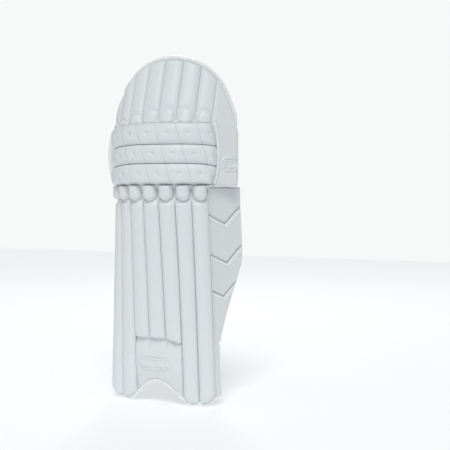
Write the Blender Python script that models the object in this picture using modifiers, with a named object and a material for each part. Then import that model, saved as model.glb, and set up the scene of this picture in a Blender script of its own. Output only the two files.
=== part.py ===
"""Cricket batting leg pad for the left leg, standing upright and facing -Y, strapped shut.

Lengths below are in millimetres. +X is the outer side of the leg, +Y is the back, where the leg goes.
The pad is a bowed shell: the knee is its foremost part, the shin recedes downwards and the top
leans back. Every sheet follows the shell, which is an arc in plan, so a point is given as
(across, height, out): across is the distance along the shell in rib widths from its middle,
and out is the distance in front of the shell's back face.
"""

import math

import bmesh
import bpy
from mathutils import Vector

MM = 0.001

# The pad's levels
HEIGHT = 700.0
WAIST = 440.0  # the crease between shin and knee
BROW = 565.0  # the crease between knee and top
DOME_START = 578.0  # where the top's outline starts to curve in
CREASE_GAP = 2.0  # half the gap that a crease leaves between two sections
ARCH_HEIGHT = 46.0  # instep arch
INSTEP_TOP = 130.0  # where the three middle ribs end above the instep panel
CAP_BOTTOM = 410.0  # stuffed ends of the shin ribs, under the knee rolls
CAP_TOP = 592.0  # stuffed ends of the top ribs, above the knee rolls
ROLL_EDGES = (444.0, 484.0, 521.5, 562.0)

# The shell in plan
RIBS = 7
HALF_RIBS = RIBS / 2
FOOT_RIB, WAIST_RIB, KNEE_RIB = 34.4, 31.9, 34.4  # rib widths at three levels
FOOT_TURN = math.radians(23)  # how far each half of the shell turns, at the same levels
WAIST_TURN = math.radians(44)
KNEE_TURN = math.radians(46)
SLIDE = 0.22  # in ribs
INNER_TURN = math.radians(10)  # how much more the inner half turns, from the waist up
KICK = 27.0  # how far back the foot of the shell stands from the knee
TOP_LEAN = math.radians(16)
PANEL_ANGLE = math.radians(55)  # the outer knee panel's direction, from +X
PANEL_WIDTH = 59.0
INNER_PANEL_ANGLE = math.radians(44)
INNER_PANEL_WIDTH = 26.0
WING_ANGLE = math.radians(69)
WING_WIDTH = 94.0
WING_TOP, WING_BOTTOM = 435.0, 126.0
WING_TAPER = 160.0  # the height over which it narrows

# Layers
BOARD = 5.0
COVER = 1.5
GAP = 0.5
RIB_SEAM, RIB_CREST, CAP_CREST = 7.2, 17.0, 22.0
ROLL_CREST = 28.0
STRAP = 2.6

# Levels of the straps, bottom and top
ANKLE_LEVEL = (115.0, 173.0)
CALF_LEVEL = (298.0, 356.0)
KNEE_LEVEL = (446.0, 482.0)

# Puts the origin under the middle of the pad's outline
FRAME_SHIFT = Vector((-9.7, -74.6, 0.0))

COLOURS = {
    "cover_leather": ((0.80, 0.84, 0.83), 0.45),
    "lining": ((0.74, 0.78, 0.77), 0.60),
    "foam": ((0.90, 0.89, 0.84), 0.90),
    "board": ((0.82, 0.82, 0.80), 0.80),
    "towelling": ((0.84, 0.84, 0.88), 0.95),
    "strap_web": ((0.78, 0.80, 0.74), 0.80),
    "hook_tape": ((0.86, 0.87, 0.86), 0.90),
    "tab_rubber": ((0.68, 0.64, 0.78), 0.45),
    "piping": ((0.88, 0.91, 0.90), 0.40),
    "cushion": ((0.80, 0.81, 0.79), 0.70),
}


# ---------------------------------------------------------------- plan and profile


def lerp(a, b, t):
    return a + (b - a) * t


def clamp(x, low=0.0, high=1.0):
    return max(low, min(high, x))


def rib_width(z):
    return lerp(FOOT_RIB, WAIST_RIB, z / WAIST) if z < WAIST else KNEE_RIB


def radius(z, side=1):
    """Radius of the shell's back face in plan, on the outer side 1 or the inner side -1."""
    turn = lerp(FOOT_TURN, WAIST_TURN, z / WAIST) if z < WAIST else KNEE_TURN
    if side < 0:
        turn += INNER_TURN * min(1.0, z / WAIST)
    return HALF_RIBS * rib_width(z) / turn


def setback(z):
    """How far the middle of the shell's back face lies behind the knee."""
    if z < WAIST:
        return KICK * (1 - z / WAIST)
    return max(0.0, z - BROW) * math.tan(TOP_LEAN)


def plan_point(x, y, z):
    return Vector((x, y + setback(z), z)) + FRAME_SHIFT


def slide(across, z):
    """Ribs towards the foot are not equal: the middle ones spread to the outer side by this much."""
    middle = 0.8
    reach = HALF_RIBS - middle if across > middle else HALF_RIBS + middle
    share = max(0.0, 1 - ((across - middle) / reach) ** 2) ** 2
    return SLIDE * share * (1 - min(1.0, z / WAIST) ** 2)


def shell(across, z, out):
    """A point on the ribbed front, or behind it where out is negative."""
    r = radius(z, across)
    turn = (across + slide(across, z)) * rib_width(z) / r
    return plan_point((r + out) * math.sin(turn), r - (r + out) * math.cos(turn), z)


def beside(width, z, out, angle, side=1):
    """A point on a flat panel that leaves the shell's edge at an angle in plan: outer edge 1, inner -1."""
    r = radius(z, side)
    turn = HALF_RIBS * rib_width(z) / r
    x = r * math.sin(turn) + width * math.cos(angle) + out * math.sin(angle)
    y = r * (1 - math.cos(turn)) + width * math.sin(angle) - out * math.cos(angle)
    return plan_point(side * x, y, z)


def top_point(distance, z, out):
    """A point on the top: the ribbed arc, then the flat outer panel, by distance from the middle rib."""
    half = HALF_RIBS * KNEE_RIB
    if distance <= half:
        return shell(distance / KNEE_RIB, z, out)
    return beside(distance - half, z, out, PANEL_ANGLE)


def arch(across):
    """Height of the shell's lower edge: the instep arch in the middle and rounded outer corners."""
    a = abs(across)
    if a < 2.3:
        return max(0.0, ARCH_HEIGHT * (0.5 + 0.5 * math.cos(math.pi * a / 2.3)) - 1.5)
    return 14.0 * max(0.0, (a - 3.1) / 0.4) ** 2


def dome_top(distance, margin):
    """The height of the top's outline, at a distance from the middle rib and inset by a margin."""
    middle, half = PANEL_WIDTH / 2, HALF_RIBS * KNEE_RIB + PANEL_WIDTH / 2 - margin
    rise = max(0.0, 1 - ((distance - middle) / half) ** 2) ** (0.667 if distance < middle else 0.75)
    return lerp(DOME_START, HEIGHT - margin, rise)


def dome_place(u, v, out, margin):
    """A point on a sheet that fills the top's outline."""
    half = HALF_RIBS * KNEE_RIB
    distance = lerp(-half + margin, half + PANEL_WIDTH - margin, u)
    return top_point(distance, lerp(BROW + CREASE_GAP, dome_top(distance, margin), v), out)


# ---------------------------------------------------------------- making solids


def material(slot):
    found = bpy.data.materials.get(slot)
    if found:
        return found
    colour, roughness = COLOURS[slot]
    made = bpy.data.materials.new(slot)
    made.use_nodes = True
    shader = made.node_tree.nodes["Principled BSDF"]
    shader.inputs["Base Color"].default_value = (*colour, 1)
    shader.inputs["Roughness"].default_value = roughness
    return made


def add_object(name, data, slot):
    made = bpy.data.objects.new(name, data)
    made.data.materials.append(material(slot))
    bpy.data.collections["cricket_leg_pad"].objects.link(made)
    return made


def sheet(name, slot, place, columns, rows, thickness):
    """A sheet whose outer face is place(u, v), with u and v from 0 to 1, thickened away from that face."""
    shape = bmesh.new()
    bmesh.ops.create_grid(shape, x_segments=columns, y_segments=rows, size=0.5)
    for vertex in shape.verts:
        vertex.co = place(vertex.co.x + 0.5, vertex.co.y + 0.5) * MM
    mesh = bpy.data.meshes.new(name)
    shape.to_mesh(mesh)
    shape.free()
    made = add_object(name, mesh, slot)
    thicken = made.modifiers.new("thickness", "SOLIDIFY")
    thicken.thickness = thickness * MM
    thicken.offset = -1
    return made


def loft(name, slot, rings):
    """A solid through rings of points, each listed anticlockwise as seen from the last ring's side."""
    shape = bmesh.new()
    loops = [[shape.verts.new(point * MM) for point in ring] for ring in rings]
    count = len(loops[0])
    for lower, upper in zip(loops, loops[1:]):
        for i in range(count):
            j = (i + 1) % count
            shape.faces.new((lower[i], lower[j], upper[j], upper[i]))
    shape.faces.new(loops[0][::-1])
    shape.faces.new(loops[-1])
    bmesh.ops.recalc_face_normals(shape, faces=shape.faces)
    mesh = bpy.data.meshes.new(name)
    shape.to_mesh(mesh)
    shape.free()
    return add_object(name, mesh, slot)


def cord(name, slot, points, thickness):
    """A round piping through points."""
    curve = bpy.data.curves.new(name, "CURVE")
    curve.dimensions = "3D"
    curve.bevel_depth = thickness / 2 * MM
    curve.bevel_resolution = 1
    curve.use_fill_caps = True
    line = curve.splines.new("POLY")
    line.points.add(len(points) - 1)
    for target, point in zip(line.points, points):
        target.co = (*(point * MM), 1)
    return add_object(name, curve, slot)


def plate(name, slot, outline, thickness, centre, facing):
    """A flat plate from an outline in its own plane, its back on centre and its front along facing."""
    curve = bpy.data.curves.new(name, "CURVE")
    curve.dimensions = "2D"
    curve.fill_mode = "BOTH"
    curve.extrude = thickness / 2 * MM
    line = curve.splines.new("POLY")
    line.points.add(len(outline) - 1)
    for target, (x, y) in zip(line.points, outline):
        target.co = (x * MM, y * MM, 0, 1)
    line.use_cyclic_u = True
    made = add_object(name, curve, slot)
    made.location = (centre + facing * thickness / 2) * MM
    made.rotation_euler = facing.to_track_quat("Z", "Y").to_euler()
    return made


# ---------------------------------------------------------------- shin


def rib_out(across, seam, crest):
    """How far the cover stands out over the ribs, at a place across them."""
    part = (across + HALF_RIBS) % 1.0
    return seam + (crest - seam) * abs(math.sin(math.pi * part)) ** 0.8


def shin_cover_out(across, z):
    if abs(across) < 1.5 and z < INSTEP_TOP:
        return 12.0
    crest = CAP_CREST if z > CAP_BOTTOM else RIB_CREST
    return rib_out(across, RIB_SEAM, crest)


def shin_board():
    def place(u, v):
        across = lerp(-HALF_RIBS, HALF_RIBS, u)
        return shell(across, lerp(arch(across), WAIST - CREASE_GAP, v), BOARD)

    sheet("shin_board", "board", place, 28, 7, BOARD)


def shin_cover():
    def place(u, v):
        across = lerp(-HALF_RIBS, HALF_RIBS, u)
        bottom, top = arch(across) + GAP, WAIST - CREASE_GAP
        levels = [lerp(bottom, INSTEP_TOP - 2, t) for t in (0, 0.33, 0.67, 1)]
        levels += [INSTEP_TOP + 2, 200, 270, 340, CAP_BOTTOM - 4, CAP_BOTTOM + 4, top - 12, top]
        z = levels[round(v * 11)]
        return shell(across, z, shin_cover_out(across, z))

    sheet("shin_front_cover", "cover_leather", place, RIBS * 6, 11, COVER)


def shin_lining():
    def place(u, v):
        across = lerp(-HALF_RIBS, HALF_RIBS, u)
        return shell(across, lerp(arch(across) + 1.0, WAIST - CREASE_GAP, v), -GAP)

    sheet("shin_lining", "lining", place, 28, 6, COVER)


def inner_edge_welt():
    """The doubled edge that the ankle and calf straps are sewn to."""
    def place(u, v):
        point = shell(-HALF_RIBS, lerp(40, WAIST - 6, v), 0)
        return point + Vector((-1.5, lerp(2, 16, u), 0))

    sheet("inner_edge_welt", "piping", lambda u, v: place(1 - u, v), 1, 6, 2.0)


def rib_ring(middle, z, crest):
    """The section of a rib's filling: flat on the board, round under the cover. With no z, its foot."""
    section = [(side, BOARD + 0.8) for side in (-0.34, -0.17, 0, 0.17, 0.34)]
    for step in range(5, 0, -1):
        part = step / 6
        out = rib_out(part - HALF_RIBS, RIB_SEAM, crest) - COVER - 1.5
        section.append(((part - 0.5) * 0.9, out))
    return [shell(middle + side, arch(middle + side) if z is None else z, out) for side, out in section]


def shin_ribs():
    for number in range(RIBS):
        middle = number - HALF_RIBS + 0.5
        inner = abs(middle) < 1.4
        levels = (INSTEP_TOP + 8, 200, 270, 340, CAP_BOTTOM - 6)
        rings = [rib_ring(middle, INSTEP_TOP + 5 if inner else None, RIB_CREST)]
        rings += [rib_ring(middle, z, RIB_CREST) for z in levels]
        rings += [rib_ring(middle, z, CAP_CREST) for z in (CAP_BOTTOM + 7, WAIST - 4)]
        loft(f"shin_rib_core_{number + 1}", "foam", rings)


def instep_pad():
    def place(u, v):
        across = lerp(-1.3, 1.3, u)
        return shell(across, lerp(arch(across) + 4, INSTEP_TOP - 6, v), 12.0 - COVER - 0.9)

    sheet("instep_pad", "foam", place, 12, 4, 3.2)


def instep_binding():
    points = []
    for step in range(21):
        across = lerp(-1.75, 1.75, step / 20)
        points.append(shell(across, arch(across) - 2.6, BOARD / 2))
    cord("instep_binding", "piping", points, 3.6)


def bolster_ring(middle, z, half_width, depth, share, inset):
    """The section of a cushion behind the lining, share being how full it is at this height."""
    ring = []
    for step in range(12):
        angle = 2 * math.pi * step / 12
        side, back = math.cos(angle), math.sin(angle)
        side = math.copysign(abs(side) ** 0.75, side)
        back = math.copysign(abs(back) ** 0.75, back)
        across = middle + (half_width - inset) * share * side / WAIST_RIB
        out = -3.0 - depth / 2 - (depth / 2 - inset) * (0.35 + 0.65 * share) * back
        ring.append(shell(across, z, out))
    return ring


def fill_share(t):
    """How full a cushion is from its bottom (0) to its top (1): round ends, full between."""
    end = min(t, 1 - t) * 8
    return math.sqrt(1 - (1 - min(end, 1.0)) ** 2) * 0.75 + 0.25


def cushion(name, middle, half_width, depth, bottom, top):
    """A filled cushion behind the lining: its filling, and a cover that wraps its back and sides."""
    heights = (0, 0.03, 0.08, 0.15, 0.35, 0.6, 0.85, 0.92, 0.97, 1)
    rings = []
    for t in heights:
        z = lerp(bottom + 3, top - 3, t)
        rings.append(bolster_ring(middle, z, half_width, depth, fill_share(t), COVER + 1.0))
    loft(f"{name}_filling", "foam", rings)

    def place(u, v):
        t = heights[round(v * (len(heights) - 1))]
        z, share = lerp(bottom, top, t), fill_share(t)
        angle = math.radians(lerp(200, -20, u))
        side, back = math.cos(angle), math.sin(angle)
        side = math.copysign(abs(side) ** 0.75, side)
        back = math.copysign(abs(back) ** 0.75, back)
        across = middle + half_width * share * side / WAIST_RIB
        return shell(across, z, -3.0 - depth / 2 - depth / 2 * (0.35 + 0.65 * share) * back)

    sheet(f"{name}_cover", "cushion", place, 12, len(heights) - 1, COVER - 0.3)


def shin_cushions():
    cushion("outer_bolster", 1.78, 27.5, 32.0, 42.0, 426.0)
    cushion("inner_bolster", -1.78, 27.5, 32.0, 42.0, 426.0)
    cushion("shin_cushion", 0.0, 26.0, 16.0, 78.0, 426.0)


# ---------------------------------------------------------------- knee


def knee_board():
    def place(u, v):
        across = lerp(-HALF_RIBS, HALF_RIBS, u)
        return shell(across, lerp(WAIST + CREASE_GAP, BROW - CREASE_GAP, v), BOARD)

    sheet("knee_board", "board", place, 16, 3, BOARD)


def roll_ends(across):
    """How thick a knee roll is along its length: it tapers to its two ends."""
    end = clamp((HALF_RIBS + 0.1 - abs(across)) / 0.6)
    return 0.55 + 0.45 * math.sqrt(1 - (1 - end) ** 2)


def roll_point(across, angle, low, high, inset):
    """A point on a knee roll's skin: angle is 0 at its front and 90 degrees at its top."""
    middle, half = (low + high) / 2, (high - low) / 2 - inset
    depth = (ROLL_CREST - BOARD - 1.0) * roll_ends(across) - inset
    z = middle + half * math.copysign(abs(math.sin(angle)) ** 0.7, math.sin(angle))
    return shell(across, z, BOARD + 1.0 + max(0.0, depth * max(0.0, math.cos(angle)) ** 0.6))


def knee_rolls():
    half = HALF_RIBS + 0.05
    for number, (low, high) in enumerate(zip(ROLL_EDGES, ROLL_EDGES[1:])):

        def place(u, v, low=low + 0.4, high=high - 0.4):
            return roll_point(lerp(-half, half, u), math.radians(lerp(-88, 88, v)), low, high, 0)

        name = f"knee_roll_{3 - number}"
        sheet(f"{name}_cover", "cover_leather", place, 20, 8, COVER)
        rings = []
        for step in range(17):
            across = lerp(-half + 0.08, half - 0.08, step / 16)
            angles = [math.radians(a) for a in range(-90, 91, 30)]
            rings.append([roll_point(across, a, low, high, COVER + 1.2) for a in angles])
        loft(f"{name}_filling", "foam", rings)


def panel_top(width):
    """The outer knee panel's top edge, which falls away to the back to leave room to flex."""
    return BROW - CREASE_GAP - 7.0 * width / PANEL_WIDTH


def outer_knee_panel():
    low = WAIST

    def skin(u, v):
        width = lerp(3.0, PANEL_WIDTH, u)
        return beside(width, lerp(low, panel_top(width), v), 9.0, PANEL_ANGLE)

    def foam(u, v):
        width = lerp(5.0, PANEL_WIDTH - 2, u)
        return beside(width, lerp(low + 2, panel_top(width) - 2, v), 9 - COVER - GAP, PANEL_ANGLE)

    sheet("outer_knee_panel_cover", "cover_leather", skin, 4, 4, COVER)
    sheet("outer_knee_panel_foam", "foam", foam, 4, 4, 6.5)


def inner_knee_panel():
    def place(u, v):
        width = lerp(INNER_PANEL_WIDTH, 3.0, u)
        rounded = 10.0 * (width / INNER_PANEL_WIDTH) ** 3
        z = lerp(WAIST + rounded, BROW - CREASE_GAP - rounded, v)
        return beside(width, z, 7.0, INNER_PANEL_ANGLE, -1)

    sheet("inner_knee_panel", "cover_leather", place, 4, 4, 6.0)


def knee_cup():
    def place(u, v):
        across = lerp(-1.9, 1.5, u)
        pleat = 0.8 * math.cos(2 * math.pi * 7 * u)
        return shell(across, lerp(452, 556, v), -3.2 + pleat)

    sheet("knee_cup", "lining", lambda u, v: place(u, v), 28, 3, 2.0)
    bpy.ops.mesh.primitive_uv_sphere_add(segments=20, ring_count=10, radius=1)
    pad = bpy.context.active_object
    pad.name = "knee_pad"
    pad.data.materials.append(material("lining"))
    pad.location = shell(0, 500, -13.0) * MM
    pad.scale = (21 * MM, 6.0 * MM, 36 * MM)
    for group in pad.users_collection:
        group.objects.unlink(pad)
    bpy.data.collections["cricket_leg_pad"].objects.link(pad)


def knee_flap():
    """The towelling flap that folds in behind the outer knee panel."""
    def place(u, v):
        width = lerp(PANEL_WIDTH - 4, -18, u)
        top = lerp(536, 556, u) - 6 * (2 * u - 1) ** 4
        point = beside(width, lerp(486, top, v), -6.0, PANEL_ANGLE)
        inward = max(0.0, u - 0.35)
        return point + Vector((-46 * inward, 8 * inward, 0))

    sheet("knee_flap", "towelling", lambda u, v: place(1 - u, v), 10, 4, 6.0)


# ---------------------------------------------------------------- top


def top_board():
    sheet("top_board", "board", lambda u, v: dome_place(u, v, BOARD, 4.5), 26, 6, BOARD)


def top_cover():
    """The ribbed front of the top, and the flat outer panel beside the ribs."""
    rib_columns, panel_columns = RIBS * 6, 6
    half = HALF_RIBS * KNEE_RIB

    def place(u, v):
        column = round(u * (rib_columns + panel_columns))
        if column <= rib_columns:
            distance = lerp(-half + 3.5, half, column / rib_columns)
        else:
            distance = lerp(half, half + PANEL_WIDTH - 3.5, (column - rib_columns) / panel_columns)
        edge = dome_top(distance, 3.5)
        cap = min(CAP_TOP, edge - 5)
        bottom = BROW + CREASE_GAP
        rows = [bottom, lerp(bottom, cap, 0.5), cap - 4, cap + 4]
        rows += [lerp(cap + 4, edge, t) for t in (0.25, 0.5, 0.75, 0.95, 1)]
        z = rows[round(v * 8)]
        if distance > half:
            return top_point(distance, z, 9.0)
        fade = clamp((edge - z) / 6)
        crest = CAP_CREST if z < cap else RIB_CREST
        crest = lerp(RIB_SEAM, crest, fade)
        return top_point(distance, z, rib_out(distance / KNEE_RIB, RIB_SEAM, crest))

    sheet("top_front_cover", "cover_leather", place, rib_columns + panel_columns, 8, COVER)


def top_ribs():
    for number in range(1, RIBS):
        middle = number - HALF_RIBS + 0.5
        edge = dome_top((middle - 0.3) * KNEE_RIB, 3.5)
        edge = min(edge, dome_top((middle + 0.36) * KNEE_RIB, 3.5))
        cap = min(CAP_TOP, edge - 5)
        rings = [rib_ring(middle, z, CAP_CREST) for z in (BROW + 4, cap - 10)]
        if edge > CAP_TOP + 30:
            rings += [rib_ring(middle, lerp(cap + 7, edge - 10, t), RIB_CREST) for t in (0, 0.5, 1)]
        loft(f"top_rib_core_{number + 1}", "foam", rings)


def top_liner():
    sheet("top_liner", "lining", lambda u, v: dome_place(u, v, -0.8, 6.0), 24, 6, 9.0)


def top_binding():
    half = HALF_RIBS * KNEE_RIB
    points = []
    for step in range(45):
        angle = math.radians(lerp(3, 177, step / 44))
        distance = lerp(-half, half + PANEL_WIDTH, (1 - math.cos(angle)) / 2)
        points.append(top_point(distance, dome_top(distance, 0) - 2.0, BOARD / 2))
    cord("top_binding", "piping", points, 3.6)


# ---------------------------------------------------------------- wing


def wing_width(z):
    """The wing's width at a height: full at the calf, then a nearly straight taper to the ankle."""
    taper = clamp((z - WING_BOTTOM) / WING_TAPER)
    return lerp(18.0, WING_WIDTH, taper**1.2)


def chevron(width, drop_at_middle):
    """Height of a chevron groove: it points down in the middle of the wing."""
    side = abs(width / WING_WIDTH * 2 - 1)
    return drop_at_middle + 28.0 * side


def wing_parts():
    start = 4.0
    inner = -10.5

    def lining(u, v):
        z = lerp(WING_BOTTOM, WING_TOP, v)
        return beside(lerp(start, wing_width(z), u), z, inner + 3.0, WING_ANGLE)

    sheet("wing_lining", "lining", lining, 4, 10, 2.6)
    grooves = (212.0, 280.0, 358.0)
    for number in range(4):

        def place(u, v, number=number):
            width = lerp(start + 1, WING_WIDTH - 2, u)
            low = WING_BOTTOM + 2 if number == 0 else chevron(width, grooves[number - 1]) + 1.5
            high = WING_TOP - 2 if number == 3 else chevron(width, grooves[number]) - 1.5
            z = lerp(low, high, v)
            return beside(min(width, start + 1 + (wing_width(z) - start - 3) * u), z, -1.5, WING_ANGLE)

        sheet(f"wing_segment_{4 - number}", "cover_leather", place, 8, 5, 5.0)
    points = []
    for step in range(15):
        z = lerp(WING_BOTTOM + 2, WING_TOP - 2, step / 14)
        points.append(beside(wing_width(z) + 2.3, z, -6.0, WING_ANGLE))
    cord("wing_binding", "piping", points, 3.6)


# ---------------------------------------------------------------- straps


def strap_route(root, tip, bow):
    """A curve in plan from the inner side of the pad round the back of the leg to the outer side."""
    handles = (root, root + Vector((2, bow, 0)), tip + Vector((-70, bow * 0.55, 0)), tip)

    def at(t):
        a, b, c, d = ((1 - t) ** 3, 3 * t * (1 - t) ** 2, 3 * t * t * (1 - t), t**3)
        return handles[0] * a + handles[1] * b + handles[2] * c + handles[3] * d

    return at


def strap_point(route, t, z, back):
    """A point on the route at t, moved to the back of it."""
    ahead = route(min(1.0, t + 0.01)) - route(max(0.0, t - 0.01))
    outward = Vector((-ahead.y, ahead.x, 0)).normalized()
    point = route(t) + outward * back
    return Vector((point.x, point.y, z))


def strap_set(name, level, root, tip, bow, tip_at, tab_outline):
    """A strap from its sewn end to its tip, the hook tape under the tip, the landing and the tab."""
    low, high = level
    route = strap_route(root, tip, bow)

    def band(first, last, back, inset):
        def place(u, v):
            return strap_point(route, lerp(last, first, u), lerp(low + inset, high - inset, v), back)

        return place

    sheet(f"{name}_strap", "strap_web", band(0.012, tip_at, 4.4 + STRAP, 0), 18, 1, STRAP)
    sheet(f"{name}_hook_tape", "hook_tape", band(tip_at - 0.14, tip_at - 0.01, 3.9, 4), 5, 1, 1.6)
    sheet(f"{name}_landing", "strap_web", band(tip_at - 0.24, 1.0, 1.8, 1), 10, 1, 1.8)
    centre = strap_point(route, tip_at - 0.03, (low + high) / 2, 4.4 + STRAP + 1.1)
    ahead = route(tip_at) - route(tip_at - 0.05)
    facing = Vector((-ahead.y, ahead.x, 0)).normalized()
    plate(f"{name}_tab", "tab_rubber", tab_outline, 1.8, centre, facing)
    return route


def half_round(width, height):
    """A D-shaped outline, round on its left side."""
    turn = [math.radians(90 + 180 * step / 10) for step in range(11)]
    return [(width * math.cos(a), height / 2 * math.sin(a)) for a in turn]


def straps():
    def inner_root(z, back):
        edge = shell(-HALF_RIBS, z, -2.0)
        if z > WAIST:
            edge = beside(INNER_PANEL_WIDTH - 4, z, 5.0, INNER_PANEL_ANGLE, -1)
        return Vector((edge.x - 1.5, edge.y + back, 0))

    ankle_z, calf_z, knee_z = (sum(level) / 2 for level in (ANKLE_LEVEL, CALF_LEVEL, KNEE_LEVEL))
    ankle_tip = beside(4, ankle_z, -15, WING_ANGLE)
    calf_tip = beside(WING_WIDTH - 8, calf_z, -13.5, WING_ANGLE)
    knee_tip = beside(PANEL_WIDTH - 4, knee_z, -9, PANEL_ANGLE)
    routes = {
        "ankle": strap_set("ankle", ANKLE_LEVEL, inner_root(ankle_z, 3), ankle_tip, 128, 0.74,
                           half_round(14, 44)),
        "calf": strap_set("calf", CALF_LEVEL, inner_root(calf_z, 3), calf_tip, 128, 0.80,
                          half_round(24, 50)),
        "knee": strap_set("knee", KNEE_LEVEL, inner_root(knee_z, 3), knee_tip, 120, 0.82,
                          half_round(11, 26)),
    }
    return routes


# ---------------------------------------------------------------- build


def clear_scene():
    for old in list(bpy.data.objects):
        bpy.data.objects.remove(old)
    group = bpy.data.collections.new("cricket_leg_pad")
    bpy.context.scene.collection.children.link(group)


def main():
    clear_scene()
    shin_board()
    shin_cover()
    shin_lining()
    inner_edge_welt()
    shin_ribs()
    instep_pad()
    instep_binding()
    shin_cushions()
    knee_board()
    knee_rolls()
    outer_knee_panel()
    inner_knee_panel()
    knee_cup()
    knee_flap()
    top_board()
    top_cover()
    top_ribs()
    top_liner()
    top_binding()
    wing_parts()
    straps()


main()
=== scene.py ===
"""Looks of a cricket batting leg pad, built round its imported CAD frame.

Lengths below are in millimetres and follow the CAD source: +X is the outer side of the leg, +Y is
the back. A point on the ribbed shell is (across, height, out): across counts rib widths from the
middle rib, and out is the distance in front of the shell's back face. Cloth and leather keep
texture coordinates in millimetres, so that weave and grain have their real scale.
"""

import math
from functools import partial

import bmesh
import bpy
import numpy as np
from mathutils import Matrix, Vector, noise
from mathutils.bvhtree import BVHTree


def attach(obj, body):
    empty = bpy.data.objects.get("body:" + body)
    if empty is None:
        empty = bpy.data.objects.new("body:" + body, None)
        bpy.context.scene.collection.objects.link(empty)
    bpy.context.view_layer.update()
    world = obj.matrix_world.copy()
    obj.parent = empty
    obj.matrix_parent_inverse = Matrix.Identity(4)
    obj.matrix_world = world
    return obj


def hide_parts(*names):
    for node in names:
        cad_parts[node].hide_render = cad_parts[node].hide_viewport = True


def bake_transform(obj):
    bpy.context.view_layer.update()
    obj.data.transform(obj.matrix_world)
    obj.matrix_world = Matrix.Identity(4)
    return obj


MM = 0.001

# The pad's levels
HEIGHT = 700.0
WAIST = 440.0
BROW = 565.0
DOME_START = 578.0
ARCH_HEIGHT, ARCH_SIDE = 46.0, 2.3  # the instep's arch, with its half width in ribs
ROLL_EDGES = (442.5, 484.0, 521.5, 564.0)

# The shell in plan
HALF_RIBS = 3.5
FOOT_RIB, WAIST_RIB, KNEE_RIB = 34.4, 31.9, 34.4
FOOT_TURN = math.radians(23)
WAIST_TURN = math.radians(44)
KNEE_TURN = math.radians(46)
INNER_TURN = math.radians(10)
SLIDE = 0.22  # how far the middle ribs spread towards the foot, in ribs
KICK = 27.0
TOP_LEAN = math.radians(16)
PANEL_ANGLE = math.radians(55)
PANEL_WIDTH = 59.0
PINCH, PINCH_BOTTOM, PINCH_TALL = 0.12, 556.0, 112.0  # the outer panel is narrower low in the top
INNER_PANEL_ANGLE = math.radians(44)
INNER_PANEL_WIDTH = 26.0
WING_ANGLE = math.radians(69)
WING_WIDTH = 94.0
WING_TOP, WING_BOTTOM = 437.0, 126.0
FRAME_SHIFT = Vector((-9.7, -74.6, 0.0))
KNEE_HALF = HALF_RIBS * KNEE_RIB  # from the middle rib to the ribs' outer edge, along the knee

# Heights of the front surface over the shell's back face
RIB_SEAM, RIB_CREST, CAP_CREST, ROLL_CREST = 7.2, 17.0, 22.5, 28.0
STRAP = 2.6

# Straps: bottom and top levels
ANKLE_LEVEL = (115.0, 173.0)
CALF_LEVEL = (298.0, 356.0)
KNEE_LEVEL = (446.0, 482.0)


# ---- plan and profile, as in the CAD


def lerp(a, b, t):
    return a + (b - a) * t


def clamp(x, low=0.0, high=1.0):
    return max(low, min(high, x))


def ease(t):
    """0 to 1 with a soft start and a soft end."""
    t = clamp(t)
    return t * t * (3 - 2 * t)


def dome(t):
    """A quarter circle: 0 at t 0 with an upright start, 1 at t 1 and beyond."""
    return math.sqrt(max(0.0, 1 - (1 - clamp(t)) ** 2))


def ridge(distance, width):
    """1 on a line and near 0 beyond its width."""
    return math.exp(-((distance / width) ** 2))


def spread(first, last, count):
    """Evenly spaced values, without the last."""
    return [lerp(first, last, i / count) for i in range(count)]


def steps(count, first=0, last=1):
    """Evenly spaced values, with the last."""
    return spread(first, last, count) + [last]


def lumps(x, z, scale, seed):
    """Smooth unevenness, from -1 to 1, over lengths of about scale."""
    return noise.noise(Vector((x / scale, z / scale, seed)))


def rib_width(z):
    return lerp(FOOT_RIB, WAIST_RIB, z / WAIST) if z < WAIST else KNEE_RIB


def radius(z, side=1):
    turn = lerp(FOOT_TURN, WAIST_TURN, z / WAIST) if z < WAIST else KNEE_TURN
    if side < 0:
        turn += INNER_TURN * min(1.0, z / WAIST)
    return HALF_RIBS * rib_width(z) / turn


def setback(z):
    if z < WAIST:
        return KICK * (1 - z / WAIST)
    return max(0.0, z - BROW) * math.tan(TOP_LEAN)


def plan_point(x, y, z):
    return Vector((x, y + setback(z), z)) + FRAME_SHIFT


def slide(across, z):
    """Ribs towards the foot are not equal: the middle ones spread to the outer side by this much."""
    middle = 0.8
    reach = HALF_RIBS - middle if across > middle else HALF_RIBS + middle
    share = max(0.0, 1 - ((across - middle) / reach) ** 2) ** 2
    return SLIDE * share * (1 - min(1.0, z / WAIST) ** 2)


def shell(across, z, out):
    r = radius(z, across)
    turn = (across + slide(across, z)) * rib_width(z) / r
    return plan_point((r + out) * math.sin(turn), r - (r + out) * math.cos(turn), z)


def beside(width, z, out, angle, side=1):
    r = radius(z, side)
    turn = HALF_RIBS * rib_width(z) / r
    x = r * math.sin(turn) + width * math.cos(angle) + out * math.sin(angle)
    y = r * (1 - math.cos(turn)) + width * math.sin(angle) - out * math.cos(angle)
    return plan_point(side * x, y, z)


def wing_point(width, z, out):
    return beside(width, z, out, WING_ANGLE)


def panel_point(width, z, out):
    return beside(width, z, out, PANEL_ANGLE)


def inner_panel_point(width, z, out):
    return beside(width, z, out, INNER_PANEL_ANGLE, -1)


def top_point(distance, z, out):
    """A point on the knee or the top: on the ribbed arc, then on the flat outer panel."""
    if distance <= KNEE_HALF:
        return shell(distance / KNEE_RIB, z, out)
    pinched = math.sin(math.pi * clamp((z - PINCH_BOTTOM) / PINCH_TALL))
    return panel_point((distance - KNEE_HALF) * (1 - PINCH * pinched), z, out)


def arch(across):
    """Height of the instep's arch, which runs out flat on both sides."""
    turn = math.pi * min(abs(across), ARCH_SIDE) / ARCH_SIDE
    return max(0.0, ARCH_HEIGHT * (0.5 + 0.5 * math.cos(turn)) - 1.5)


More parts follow.
